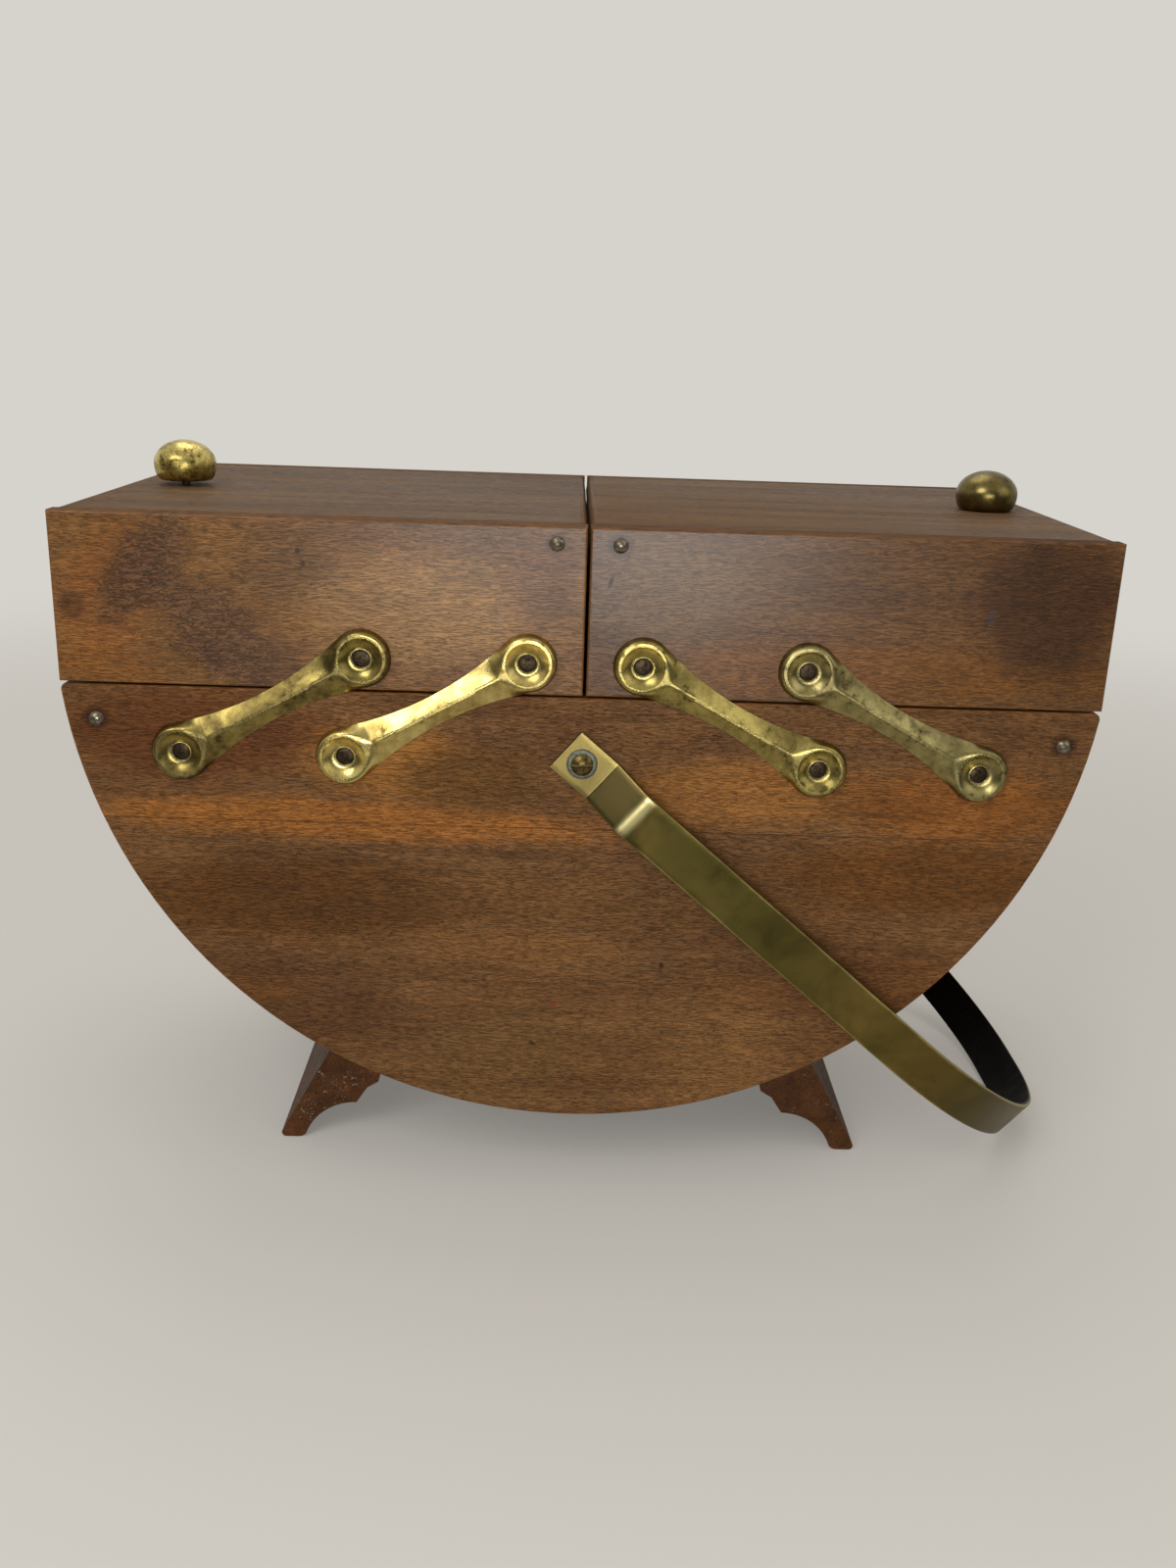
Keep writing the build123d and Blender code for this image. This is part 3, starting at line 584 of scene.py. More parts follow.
def dress(nodes, material):
    """Give CAD nodes their finish."""
    for node in nodes:
        shown = frame["nodes"][node]
        shown.data.materials.clear()
        shown.data.materials.append(material)


def dress_wood():
    """Boards, skin, feet and inside wood."""
    look = bpy.context.scene.box_wood
    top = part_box("left_tray_front")[1].z
    across = (0, 1, 0)
    boards = (
        ("varnished body boards", look.body_dark, look.body_light,
         ["base_front_panel", "base_back_panel"],
         {"spots": BODY_SPOTS, "worn": worn_round_edge(), "joint": BOARD_JOINT}),
        ("varnished left tray board", look.left_dark, look.left_light,
         ["left_tray_front", "left_tray_back"],
         {"spots": LEFT_SPOTS, "curls": LEFT_CURLS, "shift": 3.1, "roughness": 0.31,
          "varnish": 0.35, "top": top, "worn": worn_box_edges(*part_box("left_tray_front"))}),
        ("varnished right tray board", look.right_dark, look.right_light,
         ["right_tray_front", "right_tray_back"],
         {"spots": RIGHT_SPOTS, "shift": 7.7, "roughness": 0.29, "varnish": 0.5, "top": top,
          "worn": worn_box_edges(*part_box("right_tray_front"))}),
        ("varnished tray end board", look.right_dark, look.left_light,
         [f"{side}_tray_outer_wall" for side in SIDES],
         {"grain": across, "shift": 27.3, "roughness": 0.32, "varnish": 0.4, "top": top}),
        ("bent plywood skin", look.body_dark, look.body_light, ["base_skin"],
         {"grain": across, "shift": 15.9, "roughness": 0.42}),
        ("stained foot rail", srgb("40240C"), srgb("553214"), ["left_foot", "right_foot"],
         {"grain": across, "shift": 19.2, "roughness": 0.45, "chips": 0.1}),
        ("thinly varnished inside wood", srgb("77502E"), srgb("8E6238"),
         [f"{side}_{part}" for side in SIDES
          for part in ("end_rail", "tray_inner_wall", "tray_bottom")],
         {"grain": across, "shift": 23.5, "roughness": 0.5}),
    )
    for name, dark, light, nodes, more in boards:
        dress(nodes, board_wood(name, dark, light, **more))


def make_lids():
    """Lid boards whose inner ends are drawn out until they almost meet over the seam, as
    far as each can turn about its pins without crossing to the other's side."""
    look = bpy.context.scene.box_wood
    wood = board_wood("varnished lid board", look.lid_dark, look.lid_light, shift=12.3,
                      roughness=0.5)
    for side, inward in zip(SIDES, (1, -1)):
        board = frame["nodes"][f"{side}_lid_panel"].data.copy()
        pin = pivot(f"{side}_lid_turn")
        shell = bmesh.new()
        shell.from_mesh(board)
        bmesh.ops.remove_doubles(shell, verts=shell.verts, dist=DOUBLE)
        limit = abs(pin.x - BOX_CENTRE) - look.lid_gap / 2
        stretch = limit / max(inward * (v.co.x - pin.x) for v in shell.verts)
        for v in shell.verts:
            run, rise = inward * (v.co.x - pin.x), v.co.z - pin.z
            if run > 0:
                run = min(run * stretch, math.sqrt(limit**2 - rise**2))
                v.co.x = pin.x + inward * run
        shell.to_mesh(board)
        shell.free()
        lid = smooth_object(f"lid_board_{side}", board, 35)
        finish_piece(lid, f"{side}_lid", wood, [f"{side}_lid_panel"])


# Brass

def aged_brass(name, bright, dull, dark, speckle=0.5, roughness=0.3, grain_mm=2.2,
               pressed=False):
    """Old brass sheet: lacquer gone, a film of tarnish in clouds, and dark pitted specks.
    On a pressing the specks gather along the crest, which is rubbed bright in places."""
    material, tree, place = new_material(name)
    film, specks, fine = [
        add(tree, NOISE, {"Vector": place, "Scale": 1 / (size * MM), "Detail": detail,
                          "Roughness": rough, "Distortion": warp})
        for size, detail, rough, warp in ((11, 5.0, 0.62, 0.5), (grain_mm, 4.0, 0.6, 0.0),
                                          (0.6, 3.0, 0.6, 0.0))]
    clouds = add(tree, MATH, (specks, 0.7, film), operation="MULTIPLY_ADD")
    clouds = add(tree, MATH, (fine, 0.35, clouds), operation="MULTIPLY_ADD")
    clouds = add(tree, RANGE, (clouds, 0.86, 1.18))
    lean = add(tree, MATH, (film, 0.6, specks), operation="MULTIPLY_ADD")
    if pressed:
        rise = add(tree, ATTRIBUTE, attribute_name="rise").outputs["Fac"]
        crest = add(tree, RANGE, (rise, 0.5, 0.95, -0.03, 0.09))
        lean = add(tree, MATH, (lean, crest), operation="ADD")
    start = 0.98 - 0.1 * speckle
    pits = add(tree, RANGE, (lean, start - 0.05, start + 0.12, 0.0, 0.85), **SMOOTH)
    tone = layered(tree, srgb(bright), (clouds, srgb(dull)), (pits, srgb(dark)))
    if pressed:
        high = add(tree, MATH, (fine, 0.25, rise), operation="MULTIPLY_ADD")
        high = add(tree, RANGE, (high, 1.1, 1.2, 0.0, 0.5))
        tone = layered(tree, tone, (high, srgb("CFC184")))
    gloss = add(tree, RANGE, (film, 0.35, 0.65, roughness - 0.06, roughness + 0.1))
    gloss = add(tree, MATH, (pits, 0.2, gloss), operation="MULTIPLY_ADD")
    relief = add(tree, MATH, (pits, -0.6, fine), operation="MULTIPLY_ADD")
    close_material(tree, relief, 0.25, 0.12 * MM, {
        "Base Color": tone, "Roughness": gloss, "Metallic": 1.0})
    return material


def dark_steel(name, code, rust, roughness=0.42):
    """Plated steel gone dull: a grey film with brown stains in patches."""
    material, tree, place = new_material(name)
    film = add(tree, NOISE, {
        "Vector": place, "Scale": 1 / (1.6 * MM), "Detail": 4.0, "Roughness": 0.6})
    stain = add(tree, RANGE, (film, 0.45, 0.65))
    close_material(tree, film, 0.2, 0.1 * MM, {
        "Base Color": layered(tree, srgb(code), (stain, srgb(rust))),
        "Roughness": add(tree, RANGE, (film, 0.3, 0.7, roughness - 0.1, roughness + 0.15)),
        "Metallic": 0.9})
    return material


# Pressed arms. Drawn with the lower pivot at the origin, the upper pivot along U, V across
# and H out of the wood. The sheet's inner surface is the same form drawn in by its gauge.

# Directions round an eye, and divisions of the bar
ROUND_STEPS, STATIONS = 60, 36
# Shares of the way over the bar's side, up the cup's wall, and out over the eye
BAR_SHARES = (0.0, 0.1, 0.22, 0.36, 0.5, 0.64, 0.77, 0.87, 0.94, 0.98, 1.0)
WALL_SHARES = (0.12, 0.25, 0.4, 0.55, 0.7, 0.82, 0.92, 1.0)
EYE_SHARES = (0.0, 0.1, 0.24, 0.4, 0.56, 0.7, 0.82, 0.91, 0.97, 1.0)
# How the cup's wall steepens, the share of it where it starts to roll over, and the
# slope there
BOWL_POWER, BOWL_ROLL, ROLL_SLOPE = 1.7, 0.9, 1.64
# Length and width of the long dents in the sheet, and size of the small ones
DENT_LENGTH, DENT_WIDTH, SMALL_DENT = 0.009, 0.006, 0.0035
# Name, bright, dull and dark tone, speckle, roughness and grain in millimetres
ARM_FINISHES = {
    "left_outer": ("mottled pressed brass", "97864A", "675832", "4A3F22", 0.45, 0.28, 3.2),
    "left_inner": ("bright pressed brass", "D2BF78", "AA9352", "6A5830", 0.1, 0.25, 3.2),
    "right_inner": ("speckled pressed brass", "B2A15C", "847442", "4A4122", 0.35, 0.27, 2.8),
    "right_outer": ("grey pressed brass", "A09460", "786C46", "4E442A", 0.6, 0.31, 3.0),
}


class ArmForm:
    """Outlines and heights of one surface of the pressing."""

    def __init__(self, look, pitch, inset):
        rise = look.height - look.skirt_lift
        eye_run = look.eye_radius - look.cup_radius
        waist_run = look.waist - look.ridge
        eye_in = inset * math.hypot(rise, eye_run) / rise
        waist_in = inset * math.hypot(rise, waist_run) / rise
        self.pitch = pitch
        self.low = look.skirt_lift
        self.high = look.height - inset
        self.eye = look.eye_radius - eye_in
        self.waist = look.waist - waist_in
        self.rim = look.cup_radius - eye_in + inset / rise * eye_run
        self.ridge = max(look.ridge - waist_in + inset / rise * waist_run, 0.05 * MM)
        self.crest = look.cup_radius - look.rim_width - inset * 0.4
        self.fork = look.fork
        self.crown, self.roll = look.crown, look.roll
        # here the lines across the bar meet the lines round the eye
        self.joint = math.sqrt((self.rim + self.fork) ** 2 - (self.ridge + self.fork) ** 2)
        self.floor_radius = look.cup_floor
        self.bore = look.bore
        self.floor = look.play + look.sheet - inset
        half = pitch / 2
        self.bow = (half**2 + self.waist**2 - self.eye**2) / (2 * (self.eye - self.waist))
        self.side = Vector((half, self.waist + self.bow))
        self.touch = math.atan2(self.side.y, self.side.x)

    def half_width(self, u):
        """Half width of the bar at a distance along the arm."""
        return self.side.y - math.sqrt(self.bow**2 - (u - self.side.x) ** 2)

    def reach(self, angle):
        """Outline's distance from the eye's centre in a direction."""
        angle = abs(angle)
        if angle >= self.touch:
            return self.eye
        along = Vector((math.cos(angle), math.sin(angle))).dot(self.side)
        return along - math.sqrt(along**2 - (self.side.length_squared - self.bow**2))

    def height(self, u, v):
        """Height above the wood at a point inside the outline."""
        u = min(u, self.pitch - u)
        point = Vector((u, abs(v)))
        radius = point.length
        angle = math.atan2(point.y, point.x)
        if radius < self.floor_radius:
            return self.floor
        if radius < self.crest:
            # a bowl that steepens up to the crest, and rolls over in the last tenth
            share = (radius - self.floor_radius) / (self.crest - self.floor_radius)
            bowl = min(share, BOWL_ROLL) ** BOWL_POWER + max(share - BOWL_ROLL, 0) * ROLL_SLOPE
            return self.floor + (self.high - self.floor) * min(bowl, 1.0)
        from_rim = radius - self.rim
        if angle >= self.touch:
            outer, inner = self.eye - radius, from_rim
        else:
            # distance from the crest or from the cup's rim, run together where they fork
            outer = (point - self.side).length - self.bow
            from_crest = point.y - self.ridge
            blend = max(self.fork - abs(from_crest - from_rim), 0.0) / self.fork
            inner = min(from_crest, from_rim) - blend**2 * self.fork / 4
        if inner <= 0:
            return self.high
        share = max(outer, 0.0) / max(outer + inner, 1e-9)
        at_eye = min(max(1 - u / self.joint, 0.0), 1.0)
        crown = self.crown + (self.roll - self.crown) * at_eye
        return self.low + (self.high - self.low) * (1 - (1 - share) ** crown)


def arm_points(form, joint):
    """Grid lines of a surface: the half widths across the bar, and one eye's directions
    with the reach in each."""
    def across(u):
        wide = form.half_width(u)
        upper = [form.ridge + (wide - form.ridge) * share for share in BAR_SHARES]
        return [-v for v in reversed(upper)] + [0.0] + upper

    directions = [math.atan2(v, joint) for v in across(joint)]
    ends = [Vector((joint, v)).length for v in across(joint)]
    start = directions[-1]
    for k in range(1, ROUND_STEPS):
        angle = start + (2 * math.pi - 2 * start) * k / ROUND_STEPS
        directions.append(angle)
        ends.append(form.reach(angle if angle <= math.pi else angle - 2 * math.pi))
    return across, directions, ends


def arm_surface(form, joint):
    """Vertices, faces and edge loops of one surface of the pressing."""
    across, directions, ends = arm_points(form, joint)
    vertices, faces, bores, outlines = [], [], [], []

    def put(u, v):
        vertices.append((u, v, form.height(u, v)))
        return len(vertices) - 1

    def cover(low, high):
        for k in range(len(low) - 1):
            faces.append((low[k], high[k], high[k + 1], low[k + 1]))

    cup = [form.bore, (form.bore + form.floor_radius) / 2, form.floor_radius]
    wall = [form.floor_radius + (form.crest - form.floor_radius) * s for s in WALL_SHARES]
    rings = [[r] * len(ends) for r in cup + wall]
    rings += [[form.rim + (end - form.rim) * s for end in ends] for s in EYE_SHARES]
    for turned in (False, True):
        ids = []
        for ring in rings:
            spun = [(r * math.cos(a), r * math.sin(a)) for r, a in zip(ring, directions)]
            ids.append([put(form.pitch - u, -v) if turned else put(u, v) for u, v in spun])
        for low, high in zip(ids, ids[1:]):
            cover(low + low[:1], high + high[:1])
        bores.append(ids[0])
        outlines.append(ids[-1][len(across(joint)) - 1:] + [ids[-1][0]])
    run = form.pitch - 2 * joint
    stations = [joint + run * k / STATIONS for k in range(STATIONS + 1)]
    rows = [[put(u, v) for v in across(u)] for u in stations]
    for low, high in zip(rows, rows[1:]):
        cover(low, high)
    # the bar's two edges join the round outlines into one loop
    outline = outlines[0] + [row[0] for row in rows][1:] + outlines[1][1:]
    outline += [row[-1] for row in rows][::-1][1:-1]
    return vertices, faces, [outline] + bores


def arm_mesh(look, pitch, seed):
    """Closed shell of the pressed sheet: vertices, faces, and each vertex's share of the
    full rise."""
    outer, inner = (ArmForm(look, pitch, inset) for inset in (0.0, look.sheet))
    top, faces, edges = arm_surface(outer, outer.joint)
    under, under_faces, under_edges = arm_surface(inner, outer.joint)
    shift = len(top)
    faces += [tuple(i + shift for i in reversed(face)) for face in under_faces]
    for loop, twin in zip(edges, under_edges):
        faces += strip(loop, [i + shift for i in twin])
    points, rises = [], []
    for u, v, h in top + under:
        wave = noise.noise(Vector((u / DENT_LENGTH, v / DENT_WIDTH, seed * 3.7)))
        fine = noise.noise(Vector((u / SMALL_DENT, v / SMALL_DENT, seed * 5.1 + 40)))
        rise = min(max((h - look.skirt_lift) / (look.height - look.skirt_lift), 0.0), 1.0)
        points.append((u, v, h + look.dents * rise * (wave + 0.35 * fine)))
        rises.append(rise)
    return points, faces, rises


def make_arms():
    """Eight pressed arms, each with its own shallow dents."""
    look = bpy.context.scene.box_arms
    finishes = {place: aged_brass(*finish, pressed=True)
                for place, finish in ARM_FINISHES.items()}
    seed = 0
    for side in SIDES:
        rise = pivot(f"{side}_tray_level") - pivot(f"{side}_swing")
        lower = {"outer": pivot(f"{side}_swing"), "inner": pivot(f"{side}_inner_swing")}
        for row, low in lower.items():
            for face in FACES:
                seed += 1
                points, faces, rises = arm_mesh(look, rise.length, seed)
                place = face_matrix(low.x, low.z, face, rise.normalized())
                name = f"{side}_{row}_arm_{face}"
                arm = mesh_object(f"pressed_{name}", [place @ Vector(p) for p in points],
                                  faces, sharp=32, marks={"rise": rises})
                finish_piece(arm, f"{side}_{row}_arms", finishes[f"{side}_{row}"],
                             [name])


# Small fasteners, set out by one geometry node tree

# The bush's flange over the arm's sheet, and the depth of the screw's cross
FLANGE_RISE, CROSS_DEPTH = 0.8 * MM, 0.6 * MM


def setting_out_tree():
    """Instances one fastener on marked points, each turned by its own seeded angle."""
    tree = bpy.data.node_groups.new("Set Out Fasteners", "GeometryNodeTree")
    sockets = (("Points", "Geometry"), ("Fastener", "Object"), ("Finish", "Material"),
               ("Turn", "Float"), ("Seed", "Int"))
    for name, kind in sockets:
        tree.interface.new_socket(name=name, in_out="INPUT", socket_type="NodeSocket" + kind)
    tree.interface.new_socket(name="Geometry", in_out="OUTPUT",
                              socket_type="NodeSocketGeometry")
    given = add(tree, "NodeGroupInput").outputs
    facing = add(tree, "GeometryNodeInputNamedAttribute", {"Name": "facing"},
                 data_type="FLOAT_VECTOR")
    upright = add(tree, "FunctionNodeEulerToRotation", (facing,))
    back = add(tree, MATH, (given["Turn"], -1.0), operation="MULTIPLY")
    own = add(tree, "FunctionNodeRandomValue", {
        2: back, 3: given["Turn"], "Seed": given["Seed"]}, data_type="FLOAT")
    spin = add(tree, "ShaderNodeCombineXYZ", {"Z": own})
    spun = add(tree, "FunctionNodeEulerToRotation", (spin,))
    turned = add(tree, "FunctionNodeRotateRotation", (upright, spun), rotation_space="LOCAL")
    shape = add(tree, "GeometryNodeObjectInfo", {"Object": given["Fastener"]})
    placed = add(tree, "GeometryNodeInstanceOnPoints", {
        "Points": given["Points"], "Instance": shape.outputs["Geometry"],
        "Rotation": turned})
    real = add(tree, "GeometryNodeRealizeInstances", (placed,))
    finished = add(tree, "GeometryNodeSetMaterial", {
        "Geometry": real, "Material": given["Finish"]})
    add(tree, "NodeGroupOutput", (finished,))
    return tree


def set_out(name, fastener, places, finish, turn=0.0, seed=0, sharp=35.0):
    """Piece of one fastener repeated at each (x, z, face). The finish is a material, and
    then the body, a slot name that is not used, and the node of the piece."""
    material, body, slot, node = finish
    tree = bpy.data.node_groups.get("Set Out Fasteners") or setting_out_tree()
    frames = [face_matrix(x, z, face) for x, z, face in places]
    mesh = bpy.data.meshes.new(name)
    mesh.from_pydata([m.to_translation() for m in frames], [], [])
    facing = mesh.attributes.new("facing", "FLOAT_VECTOR", "POINT")
    for value, matrix in zip(facing.data, frames):
        value.vector = matrix.to_euler()
    points = new_object(name, mesh)
    modifier = points.modifiers.new("Set Out", "NODES")
    modifier.node_group = tree
    values = {"Fastener": fastener, "Finish": material, "Turn": turn, "Seed": seed}
    for item in tree.interface.items_tree:
        if item.in_out == "INPUT" and item.name in values:
            modifier[item.identifier] = values[item.name]
    points.data.update()
    finish_piece(applied(points, name, sharp), body, material, [node])


def cut_slots(made, cutters, name, sharp=35.0):
    """The object with slots cut into it."""
    for cutter in cutters:
        cut = made.modifiers.new("Slot", "BOOLEAN")
        cut.operation = "DIFFERENCE"
        cut.solver = "EXACT"
        cut.object = cutter
    result = applied(made, name, sharp)
    for cutter in cutters:
        bpy.data.objects.remove(cutter)
    return result


def slot_cutter(long, wide, low, high):
    """Box that cuts a slot across the axis."""
    x, y = long / 2, wide / 2
    corners = [(sx * x, sy * y, z) for z in (low, high) for sx, sy in
               ((-1, -1), (1, -1), (1, 1), (-1, 1))]
    sides = [(0, 3, 2, 1), (4, 5, 6, 7), (0, 1, 5, 4), (1, 2, 6, 5), (2, 3, 7, 6),
             (3, 0, 4, 7)]
    return mesh_object("cutter", corners, sides)


def dome(radius, rise, top, steps):
    """Points of a domed head from its top to its edge."""
    ball = (radius**2 + rise**2) / (2 * rise)
    spread = math.degrees(math.asin(radius / ball))
    return arc((0, top - ball), ball, 90, 90 - spread, steps)


def bush_shape(look, arm):
    """Flanged bush with a rolled ring and a conical bore."""
    sleeve = arm.sheet + 2 * arm.play
    top = sleeve + FLANGE_RISE
    ring, lip, foot = look.flange_radius, look.flange_wall / 2, 0.02 * MM
    profile = [(look.screw_radius, arm.play), (look.screw_radius + 0.05 * MM, foot),
               (look.bush_radius, foot), (look.bush_radius, sleeve),
               (ring - 0.1 * MM, sleeve), (ring, sleeve + 0.2 * MM)]
    profile += arc((ring - lip, top - lip), lip, 0, 180, 8)
    profile += [(ring - 2 * lip - 0.15 * MM, top - lip - 0.25 * MM),
                (look.screw_radius, arm.play)]
    return mesh_object("bush", *lathe(profile), sharp=60)


def screw_shape(look, arm):
    """Countersunk screw with a cross recess, its head a little domed."""
    top = arm.sheet + 2 * arm.play + FLANGE_RISE - look.head_sink
    wide = look.flange_radius - look.flange_wall - 0.42 * MM
    head = [(0.0, 0.14), (0.5, 0.11), (0.85, 0.03), (1.0, -0.1)]
    profile = [(wide * share, top + rise_mm * MM) for share, rise_mm in head]
    profile += [(look.screw_radius, arm.play + 0.05 * MM),
                (look.screw_radius, -look.screw_length + MM), (0, -look.screw_length)]
    blank = mesh_object("screw", *lathe(profile))
    slots = ((look.cross_reach, look.cross_width), (look.cross_width, look.cross_reach))
    cutters = [slot_cutter(*slot, top - CROSS_DEPTH, top + MM) for slot in slots]
    return cut_slots(blank, cutters, "cross_screw")


def nail_shape(look):
    """Domed nail whose head lies on the wood."""
    radius, height, shank = look.nail_radius, look.nail_height, look.nail_shank
    profile = dome(radius, height, height, 10)
    profile += [(radius, 0.08 * MM), (radius - 0.15 * MM, 0.0), (shank, 0.0),
                (shank, -18 * MM), (0, -20 * MM)]
    return mesh_object("nail", *lathe(profile), sharp=50)


def make_arm_fasteners():
    """Bushes and cross screws of the sixteen arm pivots."""
    look, arm = bpy.context.scene.box_fasteners, bpy.context.scene.box_arms
    ring = aged_brass("rolled brass eyelet", "C9BC88", "9A8C5A", "4A3D20", speckle=0.3,
                      roughness=0.28)
    steel = dark_steel("darkened screw steel", "3E3324", "1E160E", roughness=0.4)
    bush, screw = bush_shape(look, arm), screw_shape(look, arm)
    groups = {"base": []}
    for side in SIDES:
        rise = pivot(f"{side}_tray_level") - pivot(f"{side}_swing")
        lows = (pivot(f"{side}_swing"), pivot(f"{side}_inner_swing"))
        groups["base"] += [(low.x, low.z, face) for low in lows for face in FACES]
        groups[f"{side}_tray"] = [((low + rise).x, (low + rise).z, face)
                                  for low in lows for face in FACES]
    for seed, (body, places) in enumerate(groups.items()):
        set_out(f"eyelets_{body}", bush, places,
                (ring, body, "arm_brass", f"{body}_arm_bushes"), sharp=60)
        set_out(f"cross_screws_{body}", screw, places,
                (steel, body, "screw_steel", f"{body}_arm_screws"), turn=math.pi,
                seed=look.turn_seed + seed)
    for pattern in (bush, screw):
        bpy.data.objects.remove(pattern)


def make_nails():
    """Domed nails of the end rails and the pins of the lids."""
    look = bpy.context.scene.box_fasteners
    steel = dark_steel("dull plated nail", "857A68", "4A4032", roughness=0.3)
    nail = nail_shape(look)
    low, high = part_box("base_nails")
    places = [(x, (low.z + high.z) / 2, face)
              for x in (low.x + look.nail_radius, high.x - look.nail_radius) for face in FACES]
    set_out("domed_nails_base", nail, places, (steel, "base", "nail_steel", "base_nails"),
            turn=math.pi, sharp=50)
    for side in SIDES:
        pin = pivot(f"{side}_lid_turn")
        places = [(pin.x, pin.z, face) for face in FACES]
        set_out(f"domed_pins_{side}", nail, places,
                (steel, f"{side}_tray", "nail_steel", f"{side}_lid_pins"), turn=math.pi,
                sharp=50)
    bpy.data.objects.remove(nail)


# Handle

# The washer with the play under it, the hole for the screw, and the rise of the ramp
WASHER_STACK, STRAP_HOLE, RAMP_RISE = 1.1 * MM, 2.6 * MM, 10 * MM
# Length and width of the strap's waves and of its dents
WAVE, DING = (0.05, 0.02), (0.011, 0.009)
# Each vertex of the strap knows how far along and across it lies, and on which side
STRAP_MARKS = ("run", "across", "inside")


def strap_path(look, reach, half_strap, half_limb):
    """Centre line of the strap in its own plane, as (distance, across) points."""
    end = reach - look.thickness / 2
    corners = [(-look.overhang, -half_strap), (look.crease, -half_strap),
               (look.crease + look.ramp, -half_limb), (end, -half_limb)]
    corners += [(x, -y) for x, y in reversed(corners)]
    bow = half_limb - look.bow_flat / 2
    radii = [look.crease_radius, look.shoulder_radius, bow]
    radii += radii[::-1]
    points = [Vector(corners[0])]
    for k, radius in enumerate(radii, 1):
        here = Vector(corners[k])
        back = (Vector(corners[k - 1]) - here).normalized()
        ahead = (Vector(corners[k + 1]) - here).normalized()
        half = back.angle(ahead) / 2
        cut = radius / math.tan(half)
        centre = here + (back + ahead).normalized() * (radius / math.sin(half))
        start, stop = here + back * cut - centre, here + ahead * cut - centre
        turn = start.angle_signed(stop)
        steps = min(max(4, int(abs(turn) * radius / (1.6 * MM))), 90)
        points += [centre + Matrix.Rotation(-turn * i / steps, 2) @ start
                   for i in range(steps + 1)]
    points.append(Vector(corners[-1]))
    return points


def even_path(points, step):
    """The path with its long straight runs divided."""
    dense = [points[0]]
    for here, after in zip(points, points[1:]):
        run = (after - here).length
        if run < 1e-9:
            continue
        count = max(1, math.ceil(run / step))
        dense += [here.lerp(after, k / count) for k in range(1, count + 1)]
    return dense


def strap_section(look):
    """Closed section of the strap: (across the width, through the thickness)."""
    half_w, half_t, c = look.width / 2, look.thickness / 2, look.corner
    flats = [half_w * share for share in (-0.75, -0.5, -0.25, 0.0, 0.25, 0.5, 0.75)]
    flats = [-half_w + c] + flats + [half_w - c]
    side = [(w, -half_t) for w in flats]
    section = side + arc((half_w - c, -half_t + c), c, -90, 0, 4)[1:]
    section += arc((half_w - c, half_t - c), c, 0, 90, 4)
    section += [(w, half_t) for w in reversed(flats)][1:]
    section += arc((-half_w + c, half_t - c), c, 90, 180, 4)[1:]
    section += arc((-half_w + c, -half_t + c), c, 180, 270, 4)[:-1]
    return section


def make_handle():
    """Bent strap from tab to tab, its ends bored for the pivot screws."""
    look = bpy.context.scene.box_handle
    centre = pivot("handle_turn")
    droop = math.radians((JOINTS["handle_turn"]["range_deg"][1] - 180) / 2)
    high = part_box("handle")[1]
    half_limb = high.y - look.thickness / 2
    half_strap = -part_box("handle_washers")[0].y - WASHER_STACK - look.thickness / 2
    tip = high.x - centre.x
    reach = (tip - look.width / 2 * math.sin(droop)) / math.cos(droop)
    path = even_path(strap_path(look, reach, half_strap, half_limb), 3.0 * MM)
    section = strap_section(look)
    forward = Vector((math.cos(droop), 0, -math.sin(droop)))
    upward = Vector((math.sin(droop), 0, math.cos(droop)))
    vertices, faces, along = [], [], [0.0]
    for here, after in zip(path, path[1:]):
        along.append(along[-1] + (after - here).length)
    total = along[-1]
    count = len(section)
    for k, here in enumerate(path):
        tangent = (path[min(k + 1, len(path) - 1)] - path[max(k - 1, 0)]).normalized()
        outward = Vector((tangent.y, -tangent.x))
        # the tabs stay flat, and past them the waves grow to their full height
        from_end = min(along[k], total - along[k])
        drift = look.dents * min(max((from_end - 30 * MM) / (60 * MM), 0.0), 1.0)
        for w, t in section:
            wave = noise.noise(Vector((along[k] / WAVE[0], w / WAVE[1], 3.3)))
            ding = noise.noise(Vector((along[k] / DING[0], w / DING[1], 9.1)))
            lift = drift * (wave + 0.4 * ding)
            flat = here + outward * (-t + lift)
            point = forward * flat.x + Vector((0, flat.y, 0)) + upward * w
            vertices.append(centre + point)
    rows = [list(range(k * count, (k + 1) * count)) for k in range(len(path))]
    for low_row, high_row in zip(rows, rows[1:]):
        faces += strip(low_row, high_row)
    faces += [rows[0][::-1], rows[-1]]
    strap = mesh_object("strap_blank", vertices, faces, sharp=60)
    past = 150 * MM
    drill = [(0, -past), (STRAP_HOLE, -past), (STRAP_HOLE, past), (0, past)]
    hole = mesh_object("cutter", *lathe(drill, 40))
    hole.data.transform(Matrix.Translation(centre) @ Matrix.Rotation(math.pi / 2, 4, "X"))
    strap = cut_slots(strap, [hole], "brass_strap_handle", sharp=60)
    measure_strap(strap, path, along, centre, forward, upward)
    finish_piece(strap, "handle", strap_brass(look, total), ["handle"])


